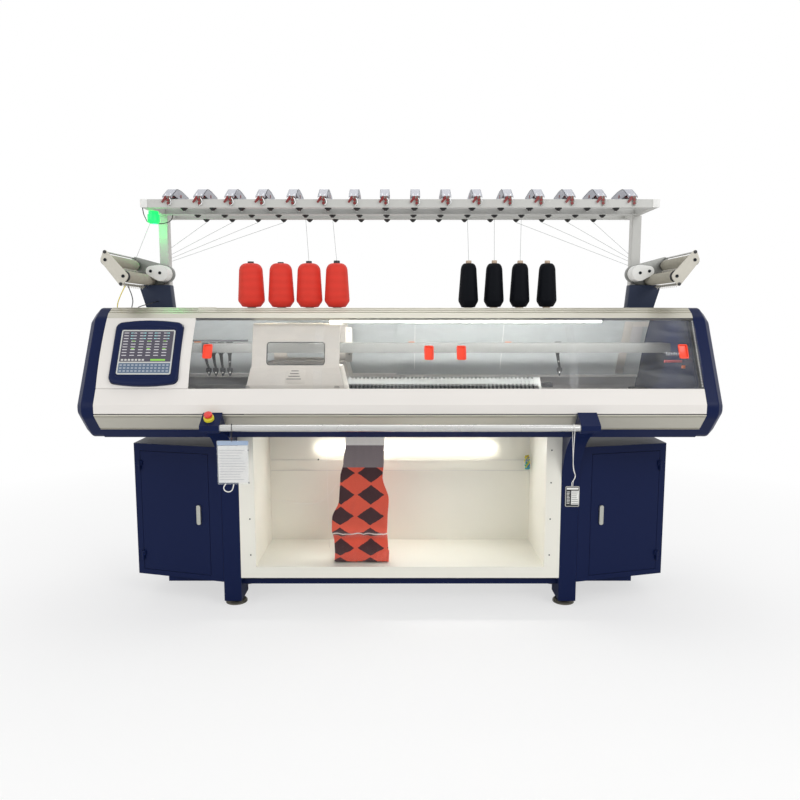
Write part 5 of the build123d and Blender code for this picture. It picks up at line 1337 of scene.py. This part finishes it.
class KNITTING_OT_hanging(KnittingOperator, bpy.types.Operator):
    """Hang the document sleeve and the tag from the operating rod"""
    bl_idname = "knitting.hanging"
    bl_label = "Sleeve and tag"

    # Flat layers: name, low and high x, z and y, material and corner radius; in lines of
    # print, their height and their number
    layers = (
        ("sleeve_sheet", (-746, -624), (662, 816), (-500.9, -499.4), "sleeve_paper", 2),
        ("sleeve_cover", (-750, -619), (655, 838), (-503, -501.6), "clear_pvc", 4),
        ("sleeve_head", (-748, -621), (818, 836), (-501.2, -499), "sleeve_blue", 3),
        ("sleeve_lines", (-740, -632), (674, 796), (-501.6, -501.2), "print_grey", 1.8, 12),
        ("tag_card", (680, 741), (559, 648), (-501.2, -499.4), "print_black", 5),
        ("tag_field", (706, 737), (570, 628), (-501.9, -501.3), "tag_white", 1),
        ("tag_edge", (682.5, 739), (561.5, 646), (-501.5, -501.25), "tag_white", 4),
        ("tag_inner", (684, 737.5), (563, 644.5), (-501.7, -501.55), "print_black", 3.4),
        ("tag_head", (687, 735), (633, 641), (-502.1, -501.75), "tag_white", 1),
        ("tag_lines", (708, 735), (574, 622), (-502.2, -501.95), "print_black", 1.6, 7),
        ("tag_marks", (688, 701), (574, 622), (-502.1, -501.75), "tag_white", 2.2, 9))
    # Cords: name, diameter, material, stiffness and route
    wires = (
        ("sleeve_wire", 2.2, "cable_black", "medium", [
            (-688, -500, 830), (-690, -506, 846), (-686, -518, 866), (-684, -520, 886),
            (-685, -512, 906), (-687, -500, 908), (-688, -488, 902), (-690, -481, 886),
            (-690, -486, 864), (-689, -497, 844), (-688, -500, 831)]),
        ("sleeve_loop", 4.5, "white_cord", "medium", [
            (-716, -502, 657), (-728, -503, 645), (-722, -504, 628), (-704, -504, 622),
            (-688, -503, 632), (-684, -502, 656)]),
        ("tag_tie", 2.6, "white_cord", "limp", [
            (708, -500, 646), (704, -505, 664), (716, -507, 676), (722, -504, 692),
            (712, -500, 712), (708, -508, 760), (708, -518, 840), (709, -520, 878),
            (709, -516, 898), (709, -500, 908), (709, -485, 898), (709, -482, 876),
            (711, -488, 800), (713, -495, 720), (724, -498, 690), (712, -498, 668),
            (712, -500, 647)]))

    def build(self, scene):
        for name, xs, zs, ys, material, size, *count in self.layers:
            make(name, material, "operating_rod", self.lines(xs, zs, ys, size, *count) if count
                 else [(extruded, rounded(xs[1] - xs[0], zs[1] - zs[0], size, 3,
                                          (sum(xs) / 2, sum(zs) / 2)), facing, *ys)])
        for name, diameter, material, stiffness, route in self.wires:
            cord_piece(name, route, diameter, material, stiffness,
                       body="operating_rod")

    def lines(self, xs, zs, ys, tall, count):
        """Plain bars that stand for lines of print, from the top down"""
        shapes = []
        for k in range(count):
            z = zs[1] - (zs[1] - zs[0]) * k / (count - 1)
            reach = (xs[1] - xs[0]) * (0.72 + 0.28 * abs(sin(2.7 * k + 1)))
            shapes.append((extruded, oblong(xs[0], xs[0] + reach, z, z + tall), facing, *ys))
        return shapes


class KNITTING_OT_cords(KnittingOperator, bpy.types.Operator):
    """Lead the yarns and the small cables"""
    bl_idname = "knitting.cords"
    bl_label = "Yarns and cables"

    # name, material and route
    cables = (
        ("signal_cable", "cable_black", [
            (-1122, -196, 1812.4), (-1126, -178, 1788), (-1136, -118, 1774), (-1148, -72, 1768),
            (-1130, -38, 1764), (-1090, -28, 1766), (-1068, -4, 1778), (-1062, 20, 1796),
            (-1062, 26, 1812.4)]),
        ("feed_cable_yellow", "cable_yellow", [
            (-1188, -262, 1474), (-1194, -260, 1462), (-1210, -246, 1444), (-1232, -220, 1420),
            (-1250, -197, 1398), (-1256, -186, 1381)]),
        ("feed_cable_black", "cable_black", [
            (-1180, -250, 1474), (-1175, -249, 1460), (-1170, -238, 1436), (-1174, -214, 1408),
            (-1186, -194, 1392), (-1192, -186, 1381)]),
        ("stand_cable", "cable_black", [
            (-1128, -26.5, 1412), (-1129, -46, 1411), (-1138, -90, 1402), (-1154, -140, 1392),
            (-1164, -166, 1386), (-1168, -176, 1381)]))
    threads = (
        ("box_string", [(-372, 150, 800), (-372, 149, 700), (-370, 150, 600), (-366, 140, 480),
                        (-360, 100, 330), (-352, 60, 197)]),
        ("box_yarn", [(-306, -25, 540), (-328, -30, 500), (-365, -26, 462), (-430, 10, 432),
                      (-520, 80, 420), (-663, 150, 424)]))

    def build(self, scene):
        self.yarns()
        for name, material, route in self.cables:
            cord_piece(name, route, sizes().cable / MM, material, "medium")
        for name, route in self.threads:
            cord_piece(name, route, 1.4, "white_cord", "limp")

    def yarns(self):
        """Taut yarn between the eyelets, the creel posts and the packages"""
        start = -EYELET_PITCH * (TENSIONERS - 1) / 2
        low = CREEL_Z - 14.4
        behind = POST_Y + POST_SIZE / 2 + 2
        runs = [((turn * (start + EYELET_PITCH * i), CREEL_BACK_Y - EYELET_INSET, low),
                 (turn * (10 - POST_X), behind, CREEL_Z - drop))
                for turn, drops in ((1, (151, 181, 197, 211)), (-1, (181, 197, 211, 231)))
                for i, drop in enumerate(drops)]
        for i, x in ((4, -419), (5, -291), (10, 316), (11, 434), (12, 553)):
            runs.append(((start + EYELET_PITCH * i, CREEL_MID_Y - EYELET_INSET, low),
                         (x, PACKAGE_Y, TABLE_Z + 215)))
        runs.append(((-1136, -14, 1812.6), (-1240, 28, 1620)))
        for number, (one, two) in enumerate(runs, 1):
            middle = [a + (b - a) / 2 for a, b in zip(one, two)]
            node = "yarn_strands" if number < len(runs) else None
            cord_piece(f"yarn_strand_{number}", [one, middle, two], sizes().strand / MM,
                       "cable_grey", "limp", node=node)


class KNITTING_OT_stage(KnittingOperator, bpy.types.Operator):
    """Set up the floor, the light and the camera"""
    bl_idname = "knitting.stage"
    bl_label = "Floor, light and camera"

    def build(self, scene):
        scene.view_settings.view_transform = "Standard"
        self.floor()
        self.world(scene)
        # Area lights: name, place, target, size and power
        lamps = (
            ("key_light", (3.2, -4.2, 3.4), (0.3, 0, 0.9), 2.6, 72),
            ("fill_light", (-3.6, -3.6, 2.2), (-0.3, 0, 0.9), 2.6, 31),
            ("top_light", (0, 0.6, 4.2), (0, 0, 1), 3.0, 40),
            ("strip_light", (0, -0.15, 1.31), (0, 0.3, 1.1), 2.3, 8),
            ("box_light", (0.03, 0.2, 0.676), (0.03, -0.8, 0.4), 0.9, 2.7),
        )
        for name, place, target, size, power in lamps:
            data = bpy.data.lights.new(name, "AREA")
            data.size = size
            if name in ("strip_light", "box_light"):
                data.shape = "RECTANGLE"
                data.size_y = 0.03
            data.energy = power
            lamp = added(name, data)
            lamp.location = place
            aim = Vector(target) - Vector(place)
            lamp.rotation_euler = aim.to_track_quat("-Z", "Y").to_euler()
        glow = bpy.data.lights.new("signal_glow", "POINT")
        glow.color = linear("#00f060")
        glow.energy = 0.22
        glow.shadow_soft_size = 0.02
        added("signal_glow", glow).location = at(-POST_X - 12, -20, CREEL_Z - 74)
        # The camera as fitted to the photograph
        data = bpy.data.cameras.new("camera")
        data.sensor_width = 36
        data.lens = 31.5
        scene.camera = added("camera", data)
        scene.camera.location = (0, -3.278, 1.335)
        scene.camera.rotation_euler = (radians(90 - 6.68), 0, 0)

    def floor(self):
        """Round pale floor that fades into the background"""
        material, tree, shader, place = start_material("pale_floor")
        far = add_node(tree, "ShaderNodeVectorMath", {"Vector": place}, operation="LENGTH")
        fade = ranged(tree, (far, "Value"), 0.6, 1.0, {"From Min": 1.6, "From Max": 4.0})
        connect(tree, shader, {"Base Color": (0.94, 0.94, 0.94, 1), "Roughness": 0.9})
        glow = add_node(tree, "ShaderNodeEmission", {"Color": (1, 1, 1, 1), "Strength": 1.0})
        ray = add_node(tree, "ShaderNodeLightPath")
        seen = maths(tree, "MULTIPLY", (ray, "Is Camera Ray"), fade)
        shown = add_node(tree, "ShaderNodeMixShader", {
            "Fac": seen, "Shader": (shader, "BSDF"), "Shader_001": (glow, "Emission")})
        output = next(n for n in tree.nodes if n.type == "OUTPUT_MATERIAL")
        connect(tree, output, {"Surface": (shown, "Shader")})
        mesh = bpy.data.meshes.new("floor")
        bm = bmesh.new()
        bmesh.ops.create_circle(bm, cap_ends=True, radius=30, segments=64)
        bm.to_mesh(mesh)
        bm.free()
        mesh.materials.append(material)
        added("floor", mesh)

    def world(self, scene):
        """White background; an even, plain light on the object"""
        world = bpy.data.worlds.new("studio")
        world.use_nodes = True
        tree = world.node_tree
        tree.nodes.clear()
        ray = add_node(tree, "ShaderNodeLightPath")
        seen = maths(tree, "MAXIMUM", (ray, "Is Camera Ray"), (ray, "Is Glossy Ray"))
        passed = maths(tree, "MAXIMUM", seen, (ray, "Is Transmission Ray"))
        light = add_node(tree, "ShaderNodeBackground", {
            "Color": (1, 1, 1, 1), "Strength": ranged(tree, passed, 0.66, 1.0)})
        add_node(tree, "ShaderNodeOutputWorld", {"Surface": (light, "Background")})
        scene.world = world


class KNITTING_PT_panel(bpy.types.Panel):
    """Lists the steps that dress the machine"""
    bl_label = "Flat knitting machine"
    bl_idname = "KNITTING_PT_panel"
    bl_space_type = "VIEW_3D"
    bl_region_type = "UI"
    bl_category = "Knitting"

    def draw(self, context):
        for step in STEPS:
            self.layout.operator(step.bl_idname)
        for group in (context.scene.knitting_colours, context.scene.knitting_sizes):
            for key in group.__annotations__:
                self.layout.prop(group, key)


STEPS = (
    KNITTING_OT_finishes,
    KNITTING_OT_doors,
    KNITTING_OT_control,
    KNITTING_OT_carriage,
    KNITTING_OT_carriers,
    KNITTING_OT_needles,
    KNITTING_OT_creel,
    KNITTING_OT_feeders,
    KNITTING_OT_fabric,
    KNITTING_OT_packages,
    KNITTING_OT_interior,
    KNITTING_OT_trim,
    KNITTING_OT_hanging,
    KNITTING_OT_cords,
    KNITTING_OT_stage,
)
CLASSES = (KnittingColours, KnittingSizes, *STEPS, KNITTING_PT_panel)


def register():
    """Registers the classes and the scene's property groups"""
    for each in CLASSES:
        bpy.utils.register_class(each)
    bpy.types.Scene.knitting_colours = bpy.props.PointerProperty(type=KnittingColours)
    bpy.types.Scene.knitting_sizes = bpy.props.PointerProperty(type=KnittingSizes)


def unregister():
    """Removes what register added"""
    del bpy.types.Scene.knitting_sizes
    del bpy.types.Scene.knitting_colours
    for each in reversed(CLASSES):
        bpy.utils.unregister_class(each)


def main():
    """Dresses the machine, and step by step"""
    register()
    for step in STEPS:
        family, name = step.bl_idname.split(".")
        getattr(getattr(bpy.ops, family), name)()


if __name__ == "__main__":
    main()
